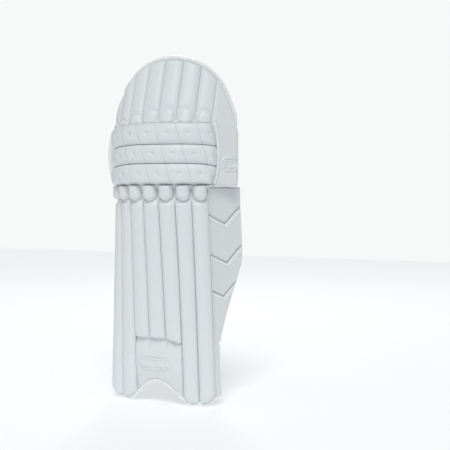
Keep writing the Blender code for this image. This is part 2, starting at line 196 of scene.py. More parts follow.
def dome_top(distance, margin):
    middle, half = PANEL_WIDTH / 2, KNEE_HALF + PANEL_WIDTH / 2 - margin
    rise = max(0.0, 1 - ((distance - middle) / half) ** 2) ** (0.667 if distance < middle else 0.83)
    return lerp(DOME_START, HEIGHT - margin, rise)


# ---- materials


class Look:
    """A procedural material being put together.

    Positions are in millimetres: on the cloth, or in the object for a piece without cloth
    coordinates, where solid is set.
    """

    def __init__(self, name, colour, roughness, solid=False, **sockets):
        self.material = bpy.data.materials.new(name)
        self.material.use_nodes = True
        self.tree = self.material.node_tree
        self.shader = self.tree.nodes["Principled BSDF"]
        self.colour = (*colour, 1)
        self.normal = None
        self.shader.inputs["Base Color"].default_value = self.colour
        self.shader.inputs["Roughness"].default_value = roughness
        for socket, value in sockets.items():
            self.shader.inputs[socket.replace("_", " ")].default_value = value
        self.place = self.mapped("Object", (1 / MM, 1 / MM, 1 / MM)) if solid else self.cloth()

    def add(self, kind, inputs=(), **settings):
        node = self.tree.nodes.new(kind)
        for key, value in settings.items():
            setattr(node, key, value)
        self.fill(node, inputs)
        return node

    def fill(self, node, inputs):
        for key, value in inputs:
            if isinstance(value, bpy.types.NodeSocket):
                self.tree.links.new(value, node.inputs[key])
            else:
                node.inputs[key].default_value = value

    def mapped(self, source, scale, turn=0.0):
        """A texture coordinate, scaled and turned by an angle in degrees."""
        place = self.add("ShaderNodeTexCoord").outputs[source]
        inputs = (("Vector", place), ("Rotation", (0, 0, math.radians(turn))), ("Scale", scale))
        return self.add("ShaderNodeMapping", inputs).outputs["Vector"]

    def cloth(self, scale=(1, 1), turn=0.0):
        """Position on the cloth, in millimetres times scale, turned by an angle in degrees."""
        return self.mapped("UV", (*scale, 1), turn)

    def noise(self, scale, detail=3.0):
        inputs = (("Vector", self.place), ("Scale", scale), ("Detail", detail), ("Roughness", 0.5))
        return self.add("ShaderNodeTexNoise", inputs).outputs["Fac"]

    def cells(self, scale, place=None):
        inputs = (("Vector", place or self.place), ("Scale", scale))
        return self.add("ShaderNodeTexVoronoi", inputs).outputs["Distance"]

    def math(self, operation, a, b=0.0):
        return self.add("ShaderNodeMath", ((0, a), (1, b)), operation=operation).outputs[0]

    def waves(self, place, axis, pitch):
        part = self.add("ShaderNodeSeparateXYZ", (("Vector", place),)).outputs[axis]
        return self.math("SINE", self.math("MULTIPLY", part, math.pi / pitch))

    def thread(self, place, axis, pitch, power=1.0):
        """Rounded threads side by side: 1 on each thread's crest and 0 between them."""
        return self.math("POWER", self.math("ABSOLUTE", self.waves(place, axis, pitch)), power)

    def weave(self, pitch):
        """Two sets of threads passing over and under each other."""
        checks = self.math("MULTIPLY", self.waves(self.place, 0, pitch), self.waves(self.place, 1, pitch))
        under = self.math("MULTIPLY", self.math("MINIMUM", checks, 0.0), -0.75)
        return self.math("ADD", self.math("MAXIMUM", checks, 0.0), under)

    def ramp(self, value, low, high, start=0.0, end=1.0):
        inputs = (("Value", value), ("From Min", start), ("From Max", end), ("To Min", low), ("To Max", high))
        return self.add("ShaderNodeMapRange", inputs).outputs["Result"]

    def tint(self, factor, colour):
        """Mixes another colour in where factor is high."""
        base = self.shader.inputs["Base Color"]
        under = base.links[0].from_socket if base.links else self.colour
        node = self.add("ShaderNodeMix", data_type="RGBA")
        self.fill(node, (("Factor", factor), ("A", under), ("B", (*colour, 1))))
        self.tree.links.new(node.outputs["Result"], base)
        return self

    def relief(self, height, depth, strength=1.0):
        """Bump of a depth in millimetres, added to the bump that is already there."""
        inputs = [("Height", height), ("Distance", depth * MM), ("Strength", strength)]
        if self.normal:
            inputs.append(("Normal", self.normal))
        self.normal = self.add("ShaderNodeBump", inputs).outputs["Normal"]
        self.tree.links.new(self.normal, self.shader.inputs["Normal"])
        return self

    def mottle(self, scale, most, colour, start=0.35, end=0.7, detail=3.0):
        """Another colour in soft patches."""
        return self.tint(self.ramp(self.noise(scale, detail), 0.0, most, start, end), colour)

    def sheen(self, scale, low, high):
        """Roughness that wanders between two values."""
        rough = self.ramp(self.noise(scale), low, high, 0.3, 0.7)
        self.tree.links.new(rough, self.shader.inputs["Roughness"])
        return self

    def rough(self, scale, depth, strength, detail=3.0):
        """Uneven bumps."""
        return self.relief(self.noise(scale, detail), depth, strength)

    def painted_shade(self, colour, amount):
        """Painted shade: darkens the seams and hollows in soft patches, where the mesh says how deep a point
        lies.
        """
        depth = self.add("ShaderNodeAttribute", attribute_name="crease").outputs["Fac"]
        patchy = self.ramp(self.noise(0.05), 0.55, 1.0, 0.3, 0.7)
        return self.tint(self.math("MULTIPLY", self.math("MULTIPLY", depth, patchy), amount), colour)


def leather_look():
    """White coated leather: fine pebble grain, soft gloss, faint blue and green mottling."""
    shine = {"Specular_IOR_Level": 0.42, "Coat_Weight": 0.08, "Coat_Roughness": 0.35}
    look = Look("cover_leather", (0.76, 0.80, 0.80), 0.42, **shine)
    look.mottle(0.02, 0.55, (0.73, 0.79, 0.78)).mottle(0.013, 0.5, (0.76, 0.76, 0.83), 0.4, 0.75, 2.0)
    # painted shade in the seams, from the crease depths
    look.painted_shade((0.50, 0.53, 0.54), 0.38).sheen(0.12, 0.36, 0.52)
    return look.relief(look.cells(0.95), 0.10, 0.45).rough(0.35, 0.25, 0.35, 4.0).material


def piping_look():
    """Bright coated piping, wound very slightly."""
    look = Look("piping", (0.86, 0.89, 0.88), 0.36, Specular_IOR_Level=0.5, Coat_Weight=0.12)
    look.mottle(0.06, 0.5, (0.80, 0.84, 0.84), 0.4).sheen(0.3, 0.30, 0.46)
    return look.rough(0.5, 0.2, 0.4).material


def lining_look(name, colour):
    """Close nylon weave with a soft sheen and faint creases."""
    look = Look(name, colour, 0.58, Sheen_Weight=0.15, Sheen_Roughness=0.4)
    # painted shade in the creases, from the crease depths
    look.mottle(0.02, 0.6, (0.64, 0.69, 0.69)).painted_shade((0.45, 0.48, 0.48), 0.35).sheen(0.1, 0.50, 0.68)
    return look.relief(look.weave(0.7), 0.12, 0.5).rough(0.06, 1.2, 0.3).material


def quilt_look():
    """White knitted mesh over the shin bolsters."""
    look = Look("quilt_mesh", (0.84, 0.85, 0.83), 0.72, Sheen_Weight=0.25, Sheen_Roughness=0.5)
    # painted shade along the quilting, from the crease depths
    look.mottle(0.03, 0.6, (0.78, 0.79, 0.78)).painted_shade((0.52, 0.54, 0.54), 0.45).sheen(0.2, 0.64, 0.80)
    return look.relief(look.cells(0.62, look.cloth((1, 0.8))), 0.25, 0.6).rough(0.12, 0.5, 0.3).material


def satin_look():
    """Pale grey satin of the middle cushion, printed dark at both ends with crossing fine lines."""
    look = Look("grey_satin", (0.66, 0.70, 0.69), 0.38, Sheen_Weight=0.2, Anisotropic=0.4)
    height = look.add("ShaderNodeSeparateXYZ", (("Vector", look.place),)).outputs[1]
    bottom, top = look.ramp(height, 1.0, 0.0, 134.0, 140.0), look.ramp(height, 0.0, 1.0, 372.0, 378.0)
    dark = look.math("ADD", bottom, top)
    waves = [look.thread(look.cloth(turn=turn), 0, 23.0) for turn in (33.0, -47.0)]
    fine = [look.ramp(wave, 1.0, 0.0, 0.03, 0.09) for wave in waves]
    lines = look.math("MULTIPLY", look.math("MAXIMUM", *fine), look.math("MULTIPLY", dark, 0.8))
    # the last step is painted shade at the gathered edges and ends, from the crease depths
    look.tint(dark, (0.30, 0.34, 0.34)).tint(lines, (0.72, 0.76, 0.76)).painted_shade((0.30, 0.33, 0.33), 0.5)
    return look.relief(look.thread(look.place, 1, 0.45), 0.05, 0.4).rough(0.05, 1.5, 0.35).material


def towelling_look():
    """Looped cotton: round loops in rows, strong sheen and a lilac cast."""
    look = Look("towelling", (0.82, 0.82, 0.88), 0.92, Sheen_Weight=0.6, Sheen_Roughness=0.5)
    look.mottle(0.02, 0.7, (0.78, 0.80, 0.82))
    return look.relief(look.cells(0.55), 0.9, 0.75).rough(0.8, 0.5, 0.5, 4.0).material


def webbing_look(name, colour, shade):
    """Strap webbing: a tight twill with a raised grain along the strap."""
    look = Look(name, colour, 0.74, Sheen_Weight=0.3, Sheen_Roughness=0.45)
    twill = look.thread(look.cloth(turn=38), 0, 1.1)
    look.mottle(0.035, 0.7, shade).tint(look.ramp(twill, 0.35, 0.0, 0.0, 0.5), shade)
    # painted shade where a mesh gives crease depths
    look.painted_shade((0.55, 0.56, 0.50), 0.4).relief(twill, 0.25, 0.7)
    return look.relief(look.thread(look.place, 1, 1.9, 0.6), 0.2, 0.5).material


def embossed_look():
    """Cream coated cloth of the calf strap's end panel, with a fine woven press."""
    look = Look("cream_coated", (0.80, 0.81, 0.72), 0.55, Specular_IOR_Level=0.4)
    # painted shade where a mesh gives crease depths
    look.mottle(0.04, 0.6, (0.75, 0.77, 0.70)).painted_shade((0.60, 0.61, 0.53), 0.5).sheen(0.2, 0.48, 0.64)
    return look.relief(look.weave(0.6), 0.1, 0.5).material


def hook_look():
    """Hook tape: stiff little hooks in rows."""
    look = Look("hook_tape", (0.82, 0.83, 0.82), 0.85, solid=True)
    look.tint(look.ramp(look.cells(0.8), 0.0, 0.7, 0.1, 0.6), (0.60, 0.61, 0.60))
    return look.relief(look.cells(0.8), 0.8, 0.9).sheen(0.4, 0.70, 0.92).material


def rubber_look():
    """Lilac soft moulded tab with a satin surface."""
    look = Look("tab_rubber", (0.60, 0.55, 0.74), 0.42, Specular_IOR_Level=0.45)
    return look.mottle(0.15, 0.5, (0.66, 0.61, 0.77)).sheen(0.5, 0.36, 0.52).rough(2.0, 0.06, 0.5).material


def board_look():
    """Pressed fibre board inside the covers."""
    look = Look("board", (0.70, 0.69, 0.66), 0.8, solid=True)
    look.mottle(0.4, 0.8, (0.60, 0.58, 0.54), detail=5.0)
    return look.sheen(0.2, 0.70, 0.88).rough(1.2, 0.2, 0.6, 4.0).material


def thread_look():
    """Bright sewing thread, twisted."""
    look = Look("thread", (0.90, 0.91, 0.89), 0.5, Sheen_Weight=0.3)
    twist = look.thread(look.cloth(turn=55), 0, 0.35)
    look.tint(look.ramp(twist, 0.5, 0.0, 0.0, 0.5), (0.72, 0.74, 0.73))
    return look.relief(twist, 0.08, 0.8).material


def floor_look():
    """A plain pale studio floor with the faintest unevenness."""
    glow = {"Emission_Color": (0.95, 0.97, 0.98, 1), "Emission_Strength": 0.40}
    look = Look("floor", (0.70, 0.71, 0.71), 0.85, solid=True, **glow)
    return look.mottle(0.004, 0.5, (0.68, 0.69, 0.695), 0.4).rough(0.6, 0.1, 0.2).material


# ---- making meshes


def add_mesh(name, points, faces, flat, look, creases, sharp=60):
    """An object from points in millimetres. flat gives each point's place on the cloth."""
    mesh = bpy.data.meshes.new(name)
    mesh.from_pydata([point * MM for point in points], [], faces)
    mesh.update()
    index = np.empty(len(mesh.loops), np.int32)
    mesh.loops.foreach_get("vertex_index", index)
    layer = mesh.uv_layers.new(name="cloth")
    layer.data.foreach_set("uv", np.array(flat, np.float32)[index].ravel())
    # how deep each point lies, which the materials turn into painted shade
    if creases:
        depth = mesh.attributes.new("crease", "FLOAT", "POINT")
        depth.data.foreach_set("value", np.array(creases, np.float32))
    outward(mesh)
    mesh.shade_smooth()
    mesh.set_sharp_from_angle(angle=math.radians(sharp))
    mesh.materials.append(look)
    made = bpy.data.objects.new(name, mesh)
    bpy.context.scene.collection.objects.link(made)
    return made


def outward(mesh):
    shape = bmesh.new()
    shape.from_mesh(mesh)
    bmesh.ops.recalc_face_normals(shape, faces=shape.faces)
    shape.to_mesh(mesh)
    shape.free()


def slab(name, look, surface, outs, columns, rows, scale=1.0, crease=None, spot=None):
    """A closed body between two faces over one surface.

    spot(column, row) gives the surface's two coordinates and anything else that outs and crease
    need. Without it they are the column and the row. columns and rows are lists, or how many equal
    steps to take from 0 to 1. outs holds each face's out, a number or a function of the spot. scale
    is how many millimetres of cloth one unit of column is. crease darkens the first face.
    """
    # crease gives painted shade: its depths darken the first face
    columns, rows = (steps(line) if isinstance(line, int) else line for line in (columns, rows))
    points, flat, depths, faces = [], [], [], []
    for face, out in enumerate(outs):
        for v in rows:
            for u in columns:
                at = spot(u, v) if spot else (u, v)
                point = surface(*at[:2], out(*at) if callable(out) else out)
                points.append(point)
                flat.append((u * scale, point.z))
                depths.append(crease(*at) if crease and face == 0 else 0.0)
    wide, count = len(columns), len(columns) * len(rows)
    for j in range(len(rows) - 1):
        for i in range(wide - 1):
            a = j * wide + i
            faces.append((a, a + 1, a + wide + 1, a + wide))
            faces.append((count + a, count + a + wide, count + a + wide + 1, count + a + 1))
    rim = list(range(wide))
    rim += [j * wide + wide - 1 for j in range(1, len(rows))]
    rim += [(len(rows) - 1) * wide + i for i in range(wide - 2, -1, -1)]
    rim += [j * wide for j in range(len(rows) - 2, 0, -1)]
    for a, b in zip(rim, rim[1:] + rim[:1]):
        faces.append((a, count + a, count + b, b))
    return add_mesh(name, points, faces, flat, look, depths if crease else None)


def ring_faces(rings, sides, first=0):
    """The faces between rings of points, where each ring has sides points."""
    faces = []
    for j in range(rings - 1):
        for i in range(sides):
            a, b = first + j * sides + i, first + j * sides + (i + 1) % sides
            faces.append((a, b, b + sides, a + sides))
    return faces


def ring_ends(rings, sides, first=0):
    """One face over each end of a row of rings."""
    last = first + (rings - 1) * sides
    return [tuple(range(first, first + sides))[::-1], tuple(range(last, last + sides))]


def tube(name, look, ring, around, rows, girth, crease=None, sharp=60):
    """A closed body of rings: ring(u, v) goes round as u goes from 0 to 1, and v is one of rows."""
    # crease gives painted shade: its depths darken the surface
    points, flat, depths = [], [], []
    for v in rows:
        for i in range(around):
            point = ring(i / around, v)
            points.append(point)
            flat.append((i / around * girth, point.z))
            depths.append(crease(i / around, v) if crease else 0.0)
    faces = ring_faces(len(rows), around)
    for start in (0, (len(rows) - 1) * around):
        middle = sum((points[start + i] for i in range(around)), Vector()) / around
        points.append(middle)
        flat.append((girth / 2, middle.z))
        depths.append(0.0)
        for i in range(around):
            faces.append((start + i, start + (i + 1) % around, len(points) - 1))
    return add_mesh(name, points, faces, flat, look, depths if crease else None, sharp)


def piping(name, look, path, width, depth=None, facing=None, sides=10):
    """An oval cord along a path: width lies across it, and depth along facing.

    facing is one direction for the whole cord, or a list with one for each point.
    """
    depth = depth or width
    facing = facing or Vector((0.31, 0.2, 0.93))
    points, flat, length = [], [], 0.0
    for i, point in enumerate(path):
        length += (point - path[max(i - 1, 0)]).length
        ahead = (path[min(i + 1, len(path) - 1)] - path[max(i - 1, 0)]).normalized()
        side = ahead.cross(facing[i] if isinstance(facing, list) else facing).normalized()
        face = side.cross(ahead)
        end = min(i, len(path) - 1 - i)
        full = 1.0 if end > 1 else (0.45, 0.85)[end]  # the ends are rounded
        for k in range(sides):
            angle = 2 * math.pi * k / sides
            across = side * (math.cos(angle) * width / 2 * full)
            points.append(point + across + face * (math.sin(angle) * depth / 2 * full))
            flat.append((k / sides * math.pi * width, length))
    faces = ring_faces(len(path), sides) + ring_ends(len(path), sides)
    return add_mesh(name, points, faces, flat, look, None, sharp=70)


def stitches(name, path, pitch=4.2, length=2.9, thickness=0.8, lift=Vector((0, 0, 1))):
    """Separate stitches along a path, each a little rounded thread."""
    travelled, due, points, flat, faces = 0.0, 0.0, [], [], []
    for a, b in zip(path, path[1:]):
        step = (b - a).length
        ahead = (b - a).normalized()
        side = ahead.cross(lift)
        side = side.normalized() if side.length > 0.1 else ahead.orthogonal().normalized()
        up = side.cross(ahead)
        while due <= travelled + step:
            middle = a + ahead * (due - travelled)
            faces += ring_faces(4, 6, len(points)) + ring_ends(4, 6, len(points))
            for along, full in ((-0.5, 0.35), (-0.3, 1.0), (0.3, 1.0), (0.5, 0.35)):
                for k in range(6):
                    angle = math.pi * k / 3
                    offset = side * math.cos(angle) + up * math.sin(angle)
                    points.append(middle + ahead * (along * length) + offset * (thickness / 2 * full))
                    flat.append((k * 0.4, due + along * length))
            due += pitch
        travelled += step
    return add_mesh(name, points, faces, flat, THREAD, None)


def belongs(piece, body, slot, *nodes, fill=0.0):
    """The piece rides on a body and hides the CAD nodes that it stands for; slot and fill are not used."""
    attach(piece, body)
    if nodes:
        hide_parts(*nodes)


def cord(body, *args, nodes=(), **settings):
    """A piping that belongs to a body."""
    belongs(piping(*args, **settings), body, "piping", *nodes)


CLOTH = {
    "quality": 6,
    "mass": 0.25,
    "use_pressure": True,
    "vertex_group_mass": "held",
    "tension_stiffness": 25,
    "compression_stiffness": 15,
    "bending_stiffness": 0.3,
}


def inflate(piece, stays, pressure, most, slack=0.0, frames=20):
    """Blows a closed cover up by cloth simulation, and no point moves over most.

    stays(point, index) says whether a vertex is held, from its place in millimetres and its index.
    """
    scene = bpy.context.scene
    group = piece.vertex_groups.new(name="held")
    held = [vertex.index for vertex in piece.data.vertices if stays(vertex.co / MM, vertex.index)]
    group.add(held, 1.0, "REPLACE")
    cloth = piece.modifiers.new("cloth", "CLOTH")
    for key, value in CLOTH.items():
        setattr(cloth.settings, key, value)
    cloth.settings.uniform_pressure_force = pressure
    cloth.settings.shrink_min = -slack
    cloth.settings.effector_weights.gravity = 0
    cloth.collision_settings.use_collision = False
    cloth.point_cache.frame_start = 1
    cloth.point_cache.frame_end = frames
    for number in range(1, frames + 1):
        scene.frame_set(number)
    evaluated = piece.evaluated_get(bpy.context.evaluated_depsgraph_get())
    blown = [vertex.co.copy() for vertex in evaluated.data.vertices]
    piece.modifiers.remove(cloth)
    piece.vertex_groups.clear()
    for vertex, target in zip(piece.data.vertices, blown):
        move = target - vertex.co
        if move.length > most * MM:
            move *= most * MM / move.length
        vertex.co += move
    scene.frame_set(1)


def subdivide(piece):
    """Subdivides the mesh once, for good."""
    modifier = piece.modifiers.new("smooth", "SUBSURF")
    modifier.levels = modifier.render_levels = 1
    mesh = bpy.data.meshes.new_from_object(piece.evaluated_get(bpy.context.evaluated_depsgraph_get()))
    piece.modifiers.remove(modifier)
    old = piece.data
    piece.data = mesh
    bpy.data.meshes.remove(old)
    mesh.name = piece.name


def press(piece, depth_at):
    """Presses seams into a mesh: depth_at(point in millimetres) is how far a point sinks."""
    normals = [vertex.normal.copy() for vertex in piece.data.vertices]
    for vertex, normal in zip(piece.data.vertices, normals):
        vertex.co -= normal * (depth_at(vertex.co / MM) * MM)
    piece.data.update()


def surface_of(piece):
    mesh = piece.data
    points = [vertex.co / MM for vertex in mesh.vertices]
    return BVHTree.FromPolygons(points, [tuple(face.vertices) for face in mesh.polygons])


# ---- shin front

SHIN_TOP = 442.0
SOLE_GAP = 5.0  # the binding's height below the ribs
CAP_START, CAP_MIDDLE, CAP_ROUND, CAP_HALF = 400.0, 421.5, 10.5, 0.42  # the ribs' stuffed ends
PANEL_SIDE = 1.5  # half the instep panel's width, in ribs
INSTEP_RING = (-0.2, 84.0, 19.0, 13.5)  # a raised outline's place in ribs, level, half length and radius
FOLDS = ((-0.62, 0.004), (-0.42, -0.006), (0.5, 0.003), (0.95, 0.007))  # place and lean, over the instep
RIB_CORES = [f"shin_rib_core_{number}" for number in range(1, 8)]
TOP_CORES = [f"top_rib_core_{number}" for number in range(2, 8)]
# The cover's sides in section: (width beyond the outermost rib, out)
OUTER_WALL = ((-5.0, 4.6), (-2.0, 3.4), (2.0, 2.6), (7.0, 2.6), (12.5, 2.2), (15.0, -0.6), (14.6, -4.0),
              (9.0, -6.5), (3.0, -7.0), (-3.0, -5.0), (-6.0, -1.0), (-6.5, 2.5))
INNER_WALL = ((-5.0, 4.6), (-2.0, 3.8), (2.0, 3.0), (7.0, 2.4), (12.0, 1.8), (14.4, 0.0), (14.0, -2.4),
              (9.0, -3.4), (3.0, -3.6), (-3.0, -2.6), (-6.0, -0.5), (-6.5, 2.5))


def sole(across):
    """The visible lower edge of the ribs: the arch leans a little to the inner side."""
    shifted = across + 0.2 * max(0.0, 1 - (across / ARCH_SIDE) ** 2)
    notch = ridge((abs(across) - 2.5) * FOOT_RIB, 3.0)
    corner = 14.0 * max(0.0, (abs(across) - 2.7) / 0.8) ** 2.2
    return arch(shifted) + corner + SOLE_GAP + 2.5 * notch


def rib_profile(across):
    """0 at a rib's seams and 1 on its crest."""
    side = abs(2 * ((across + HALF_RIBS) % 1.0) - 1)
    return max(0.0, 1 - side**2.5) ** 0.62


def rib_body(across, z):
    """A filled rib, a little uneven, with a second stitch line beside the outermost seam."""
    crest = RIB_CREST + 0.5 * lumps(across * 34, z, 70, 3.0)
    out = RIB_SEAM + (crest - RIB_SEAM) * rib_profile(across)
    return out - 1.0 * ridge((across - 2.62) * 33, 0.9)


def rib_end(across):
    """Where the three middle ribs end over the instep panel: lower towards the outer side."""
    return 134 - 9 * ease((across - 0.4) / 1.1) - 2.0 * ridge((abs(across) - 0.5) * 33, 3.0)


def instep_height(across, z):
    below = rib_end(across) - z
    out = 8.0 + 5.0 * ease(below / 26) - 3.5 * ease((below - 48) / 45)
    for fold, lean in FOLDS:
        out -= 1.8 * ridge((across - fold - lean * below) * 34, 2.4) * math.exp(-max(below, 0) / 18)
    out -= 4.5 * ridge((PANEL_SIDE - abs(across)) * 34, 2.6)
    return out + emboss_ring((across - INSTEP_RING[0]) * 34, z - INSTEP_RING[1], *INSTEP_RING[2:])


def emboss_ring(x, z, straight, half):
    """Two plain raised outlines, one inside the other, round a long rounded field."""
    reach = math.hypot(max(abs(x) - straight, 0.0), z)
    return 3.0 * ridge(reach - half, 1.8) + 2.4 * ridge(reach - half + 6.0, 1.6)


def cap_bulb(across, drop):
    """How full a rib's stuffed end is: drop goes from 0 at the straight part to 1 at the round end."""
    side = abs((across + HALF_RIBS) % 1.0 - 0.5) / CAP_HALF
    return max(0.0, 1 - math.hypot(side, max(0.0, drop)) ** 2.2) ** 0.5


def shin_height(across, z):
    out = rib_body(across, z)
    if z > CAP_START:
        out -= 5.0 * rib_profile(across) * ease((z - CAP_START - 1) / 10)
        out = lerp(out, RIB_SEAM - 1.0, ease((z - CAP_START - 10) / 8))
        bulb = cap_bulb(across, (CAP_MIDDLE - z) / CAP_ROUND)
        out = max(out, RIB_SEAM - 1.0 + (CAP_CREST + 2.0 - RIB_SEAM) * bulb)
        out = lerp(5.5, out, dome((SHIN_TOP - z) / 3.0))
    if abs(across) < PANEL_SIDE:
        over = dome((z - rib_end(across)) / 6.0) if z > rib_end(across) else 0.0
        out = lerp(instep_height(across, z), out, over)
    return lerp(4.5, out, dome((z - sole(across)) / (7.0 if abs(across) < PANEL_SIDE else 11.0)))


def between(stops, v):
    """The level at v, where whole numbers of v are the stops."""
    zone = min(int(v), len(stops) - 2)
    return lerp(stops[zone], stops[zone + 1], v - zone)


def shin_level(across, v):
    """Height of a row: rows crowd at the lower edge, at the rib ends and at the caps."""
    low = sole(across)
    return between((low, low + 12, 116, 142, CAP_START - 2, SHIN_TOP), v)


def seam_depth(out):
    """How deep a point lies between two ribs, from 0 to 1."""
    return clamp(1 - (out - RIB_SEAM) / 5)


def rib_columns(each=18):
    """Places across the seven ribs, closer together at the seams."""
    places = []
    for rib in range(7):
        for t in spread(0, 1, each):
            places.append(rib - HALF_RIBS + t - 0.75 * math.sin(2 * math.pi * t) / (2 * math.pi))
    return places + [HALF_RIBS]


def shin_front():
    def spot(across, v):
        return across, shin_level(across, v)

    # painted shade between the ribs and over other low places
    def crease(across, z):
        return seam_depth(shin_height(across, z))

    rows = spread(0, 1, 10) + spread(1, 2, 24) + spread(2, 3, 22) + spread(3, 4, 46) + steps(34, 4, 5)
    outs = (shin_height, 1.0)
    piece = slab("shin_front_cover_stuffed", LEATHER, shell, outs, rib_columns(), rows, 33.0, crease, spot)
    nodes = ("shin_front_cover", "shin_board", "instep_pad", *RIB_CORES)
    belongs(piece, "shin", "cover_leather", *nodes, fill=0.9)


def side_wall(side, section):
    """One of the cover's two sides, which turn back from the outer ribs to the lining."""
    def ring(u, v):
        z = lerp(sole(HALF_RIBS) - 1.5, SHIN_TOP - 4, v)
        width, out = closed_spline(section, u)
        if side > 0:  # tucked under the wing above its lower end
            under = ease((z - WING_BOTTOM - 2) / 5)
            return beside(lerp(width, min(width, 1.5), under), z, out - 3.0 * under, WING_ANGLE)
        return beside(width, z, out, WING_ANGLE, side)

    name = "outer_side_wall" if side > 0 else "inner_side_wall"
    return tube(name, LEATHER, ring, 36, steps(60), 45)


def side_walls():
    belongs(side_wall(1, OUTER_WALL), "shin", "cover_leather")
    belongs(side_wall(-1, INNER_WALL), "shin", "piping", "inner_edge_welt")
    low = sole(HALF_RIBS)
    for name, side, width, top in (("outer", 1, 14.2, WING_BOTTOM - 1), ("inner", -1, 12.5, SHIN_TOP - 6)):
        path = [beside(width, z, 2.2, WING_ANGLE, side) for z in spread(low, top, 40)]
        cord("shin", f"{name}_side_piping", PIPING, path, 2.6)
    path = [beside(1.5, z, 3.2, WING_ANGLE) for z in spread(low + 4, WING_BOTTOM - 3, 30)]
    cord("shin", "outer_side_fold", LEATHER, path, 1.6)


def closed_spline(points, t):
    """A point on the smooth closed curve through points, t going round once from 0 to 1."""
    place = (t % 1.0) * len(points)
    first = int(place)
    part = place - first
    near = (points[(first + k - 1) % len(points)] for k in range(4))
    found = []
    for p, q, r, s in zip(*near):
        curve = 2 * q + (r - p) * part + (2 * p - 5 * q + 4 * r - s) * part**2
        found.append((curve + (3 * q - p - 3 * r + s) * part**3) / 2)
    return found


def sole_binding():
    """The pale binding that closes the whole lower edge, with its row of stitches."""
    spots = steps(150, -HALF_RIBS - 0.02, HALF_RIBS + 0.02)
    path = [shell(across, sole(across) - 1.8, 2.2) for across in spots]
    ahead = [(path[min(i + 1, 150)] - path[max(i - 1, 0)]).normalized() for i in range(151)]
    outwards = [shell(across, 50, 20) - shell(across, 50, 0) for across in spots]
    down = [a.cross(o).normalized() for a, o in zip(ahead, outwards)]
    cord("shin", "sole_binding", PIPING, path, 12.0, 7.4, down, sides=16, nodes=("instep_binding",))
    seam = [shell(across, sole(across) + 0.9, 7.4 if abs(across) < 1.6 else 5.0) for across in spots[2:-2]]
    belongs(stitches("sole_stitches", seam, 4.0, 2.6, 0.7), "shin", "piping")


# ---- knee front

SEAM_FIRST, SEAM_PITCH, SEAM_SLANT = -2.62, 1.05, 0.0072  # the slanted seams over the knee rolls
SEAM_LEVEL = 554.0
ROLL_GAP = 18.0  # how far out two rolls meet
ROLL_BACK = 5.4
ROLL_BOW, BORDER_BOW = 8.0, 8.5  # how far the rolls' outer ends and their border bow out
ROLL_INNER_ROUND, ROLL_OUTER_ROUND = 34.0, 16.0  # how long the rolls' rounded ends are
ROLL_INNER_END = 5.0 - KNEE_HALF
PANEL_SLANT = 7.0  # how far the outer panel's top edge falls to its outer corner
CORNER = 12.0  # how far the inner panel's rounded corners reach
KNEE_RING = (38.0, 484.0, 6.0, 12.5)  # a raised outline's width and level, half length and radius


def bow(z):
    """The rolls' outer ends bow out to the side: 0 at the knee's top and bottom, 1 between."""
    return math.sin(math.pi * clamp((z - ROLL_EDGES[0]) / (ROLL_EDGES[3] - ROLL_EDGES[0])))


def droop(distance):
    """How far the rolls and the brow sink towards the inner edge."""
    return 9.0 * clamp((-distance - 20) / 96) ** 2


def roll_seam(across, z):
    """How far round a cell between two slanted seams: 0 and 1 on the seams."""
    return ((across - SEAM_FIRST - SEAM_SLANT * (SEAM_LEVEL - z)) / SEAM_PITCH) % 1.0


def roll_height(across, t, z, end, middle):
    full = (1 - abs(t) ** 2.7) ** 0.52 if abs(t) < 1 else 0.0
    meeting = ROLL_GAP if ROLL_EDGES[0] + 5 < z < ROLL_EDGES[3] - 5 or t > 0 else 6.0
    low = lerp(6.0, meeting, dome(end))
    out = low + (lerp(6.0, ROLL_CREST, dome(end)) - low) * full
    cell = roll_seam(across, z)
    inside = ease(end * 2)
    gap = min(cell, 1 - cell) * SEAM_PITCH * KNEE_RIB
    out -= inside * (0.9 * ridge(gap, 0.8) - 0.9 * math.sin(math.pi * cell) ** 0.7)
    away = math.hypot((cell - 0.5) * SEAM_PITCH * KNEE_RIB, z - middle - 1.0)
    return out - inside * full * (3.2 * ridge(away, 2.6) + 1.6 * ridge(away, 6.5))


def roll_sink(distance, z):
    """How far a roll sinks at its inner end, and how far its outer end turns down."""
    turned = 5.0 * (1 - abs(z - 490) / 75) * clamp((distance - 60) / 60) ** 3
    return (droop(distance) + turned) * clamp((z - 432) / 40)


def knee_roll(name, low, high):
    middle, half = (low + high) / 2, (high - low) / 2 - 0.15

    def spot(u, v):
        """Distance, level before it sinks, share of the way in from the nearer end, and v."""
        outer_end = KNEE_HALF - 1.0 + ROLL_BOW * bow(middle + half * v)
        distance = lerp(ROLL_INNER_END, outer_end, u)
        end = min((distance - ROLL_INNER_END) / ROLL_INNER_ROUND, (outer_end - distance) / ROLL_OUTER_ROUND)
        return distance, middle + half * v * (0.90 + 0.10 * dome(end * 1.6)), end, v

    def sunk(distance, z, out):
        return top_point(distance, z - roll_sink(distance, z), out)

    def height(distance, z, end, v):
        return roll_height(distance / KNEE_RIB, v, z, end, middle)

    # painted shade in the seams and where the rolls meet
    def crease(distance, z, _, v):
        cell = roll_seam(distance / KNEE_RIB, z - roll_sink(distance, z))
        return clamp(0.15 * abs(v) ** 8 + ridge(min(cell, 1 - cell) * 36, 1.2) * 0.7)

    rows = [-math.cos(math.pi * i / 38) for i in range(39)]
    piece = slab(f"{name}_stuffed", LEATHER, sunk, (height, ROLL_BACK), 250, rows, 250.0, crease, spot)
    belongs(piece, "knee", "cover_leather", f"{name}_cover", f"{name}_filling", fill=0.95)


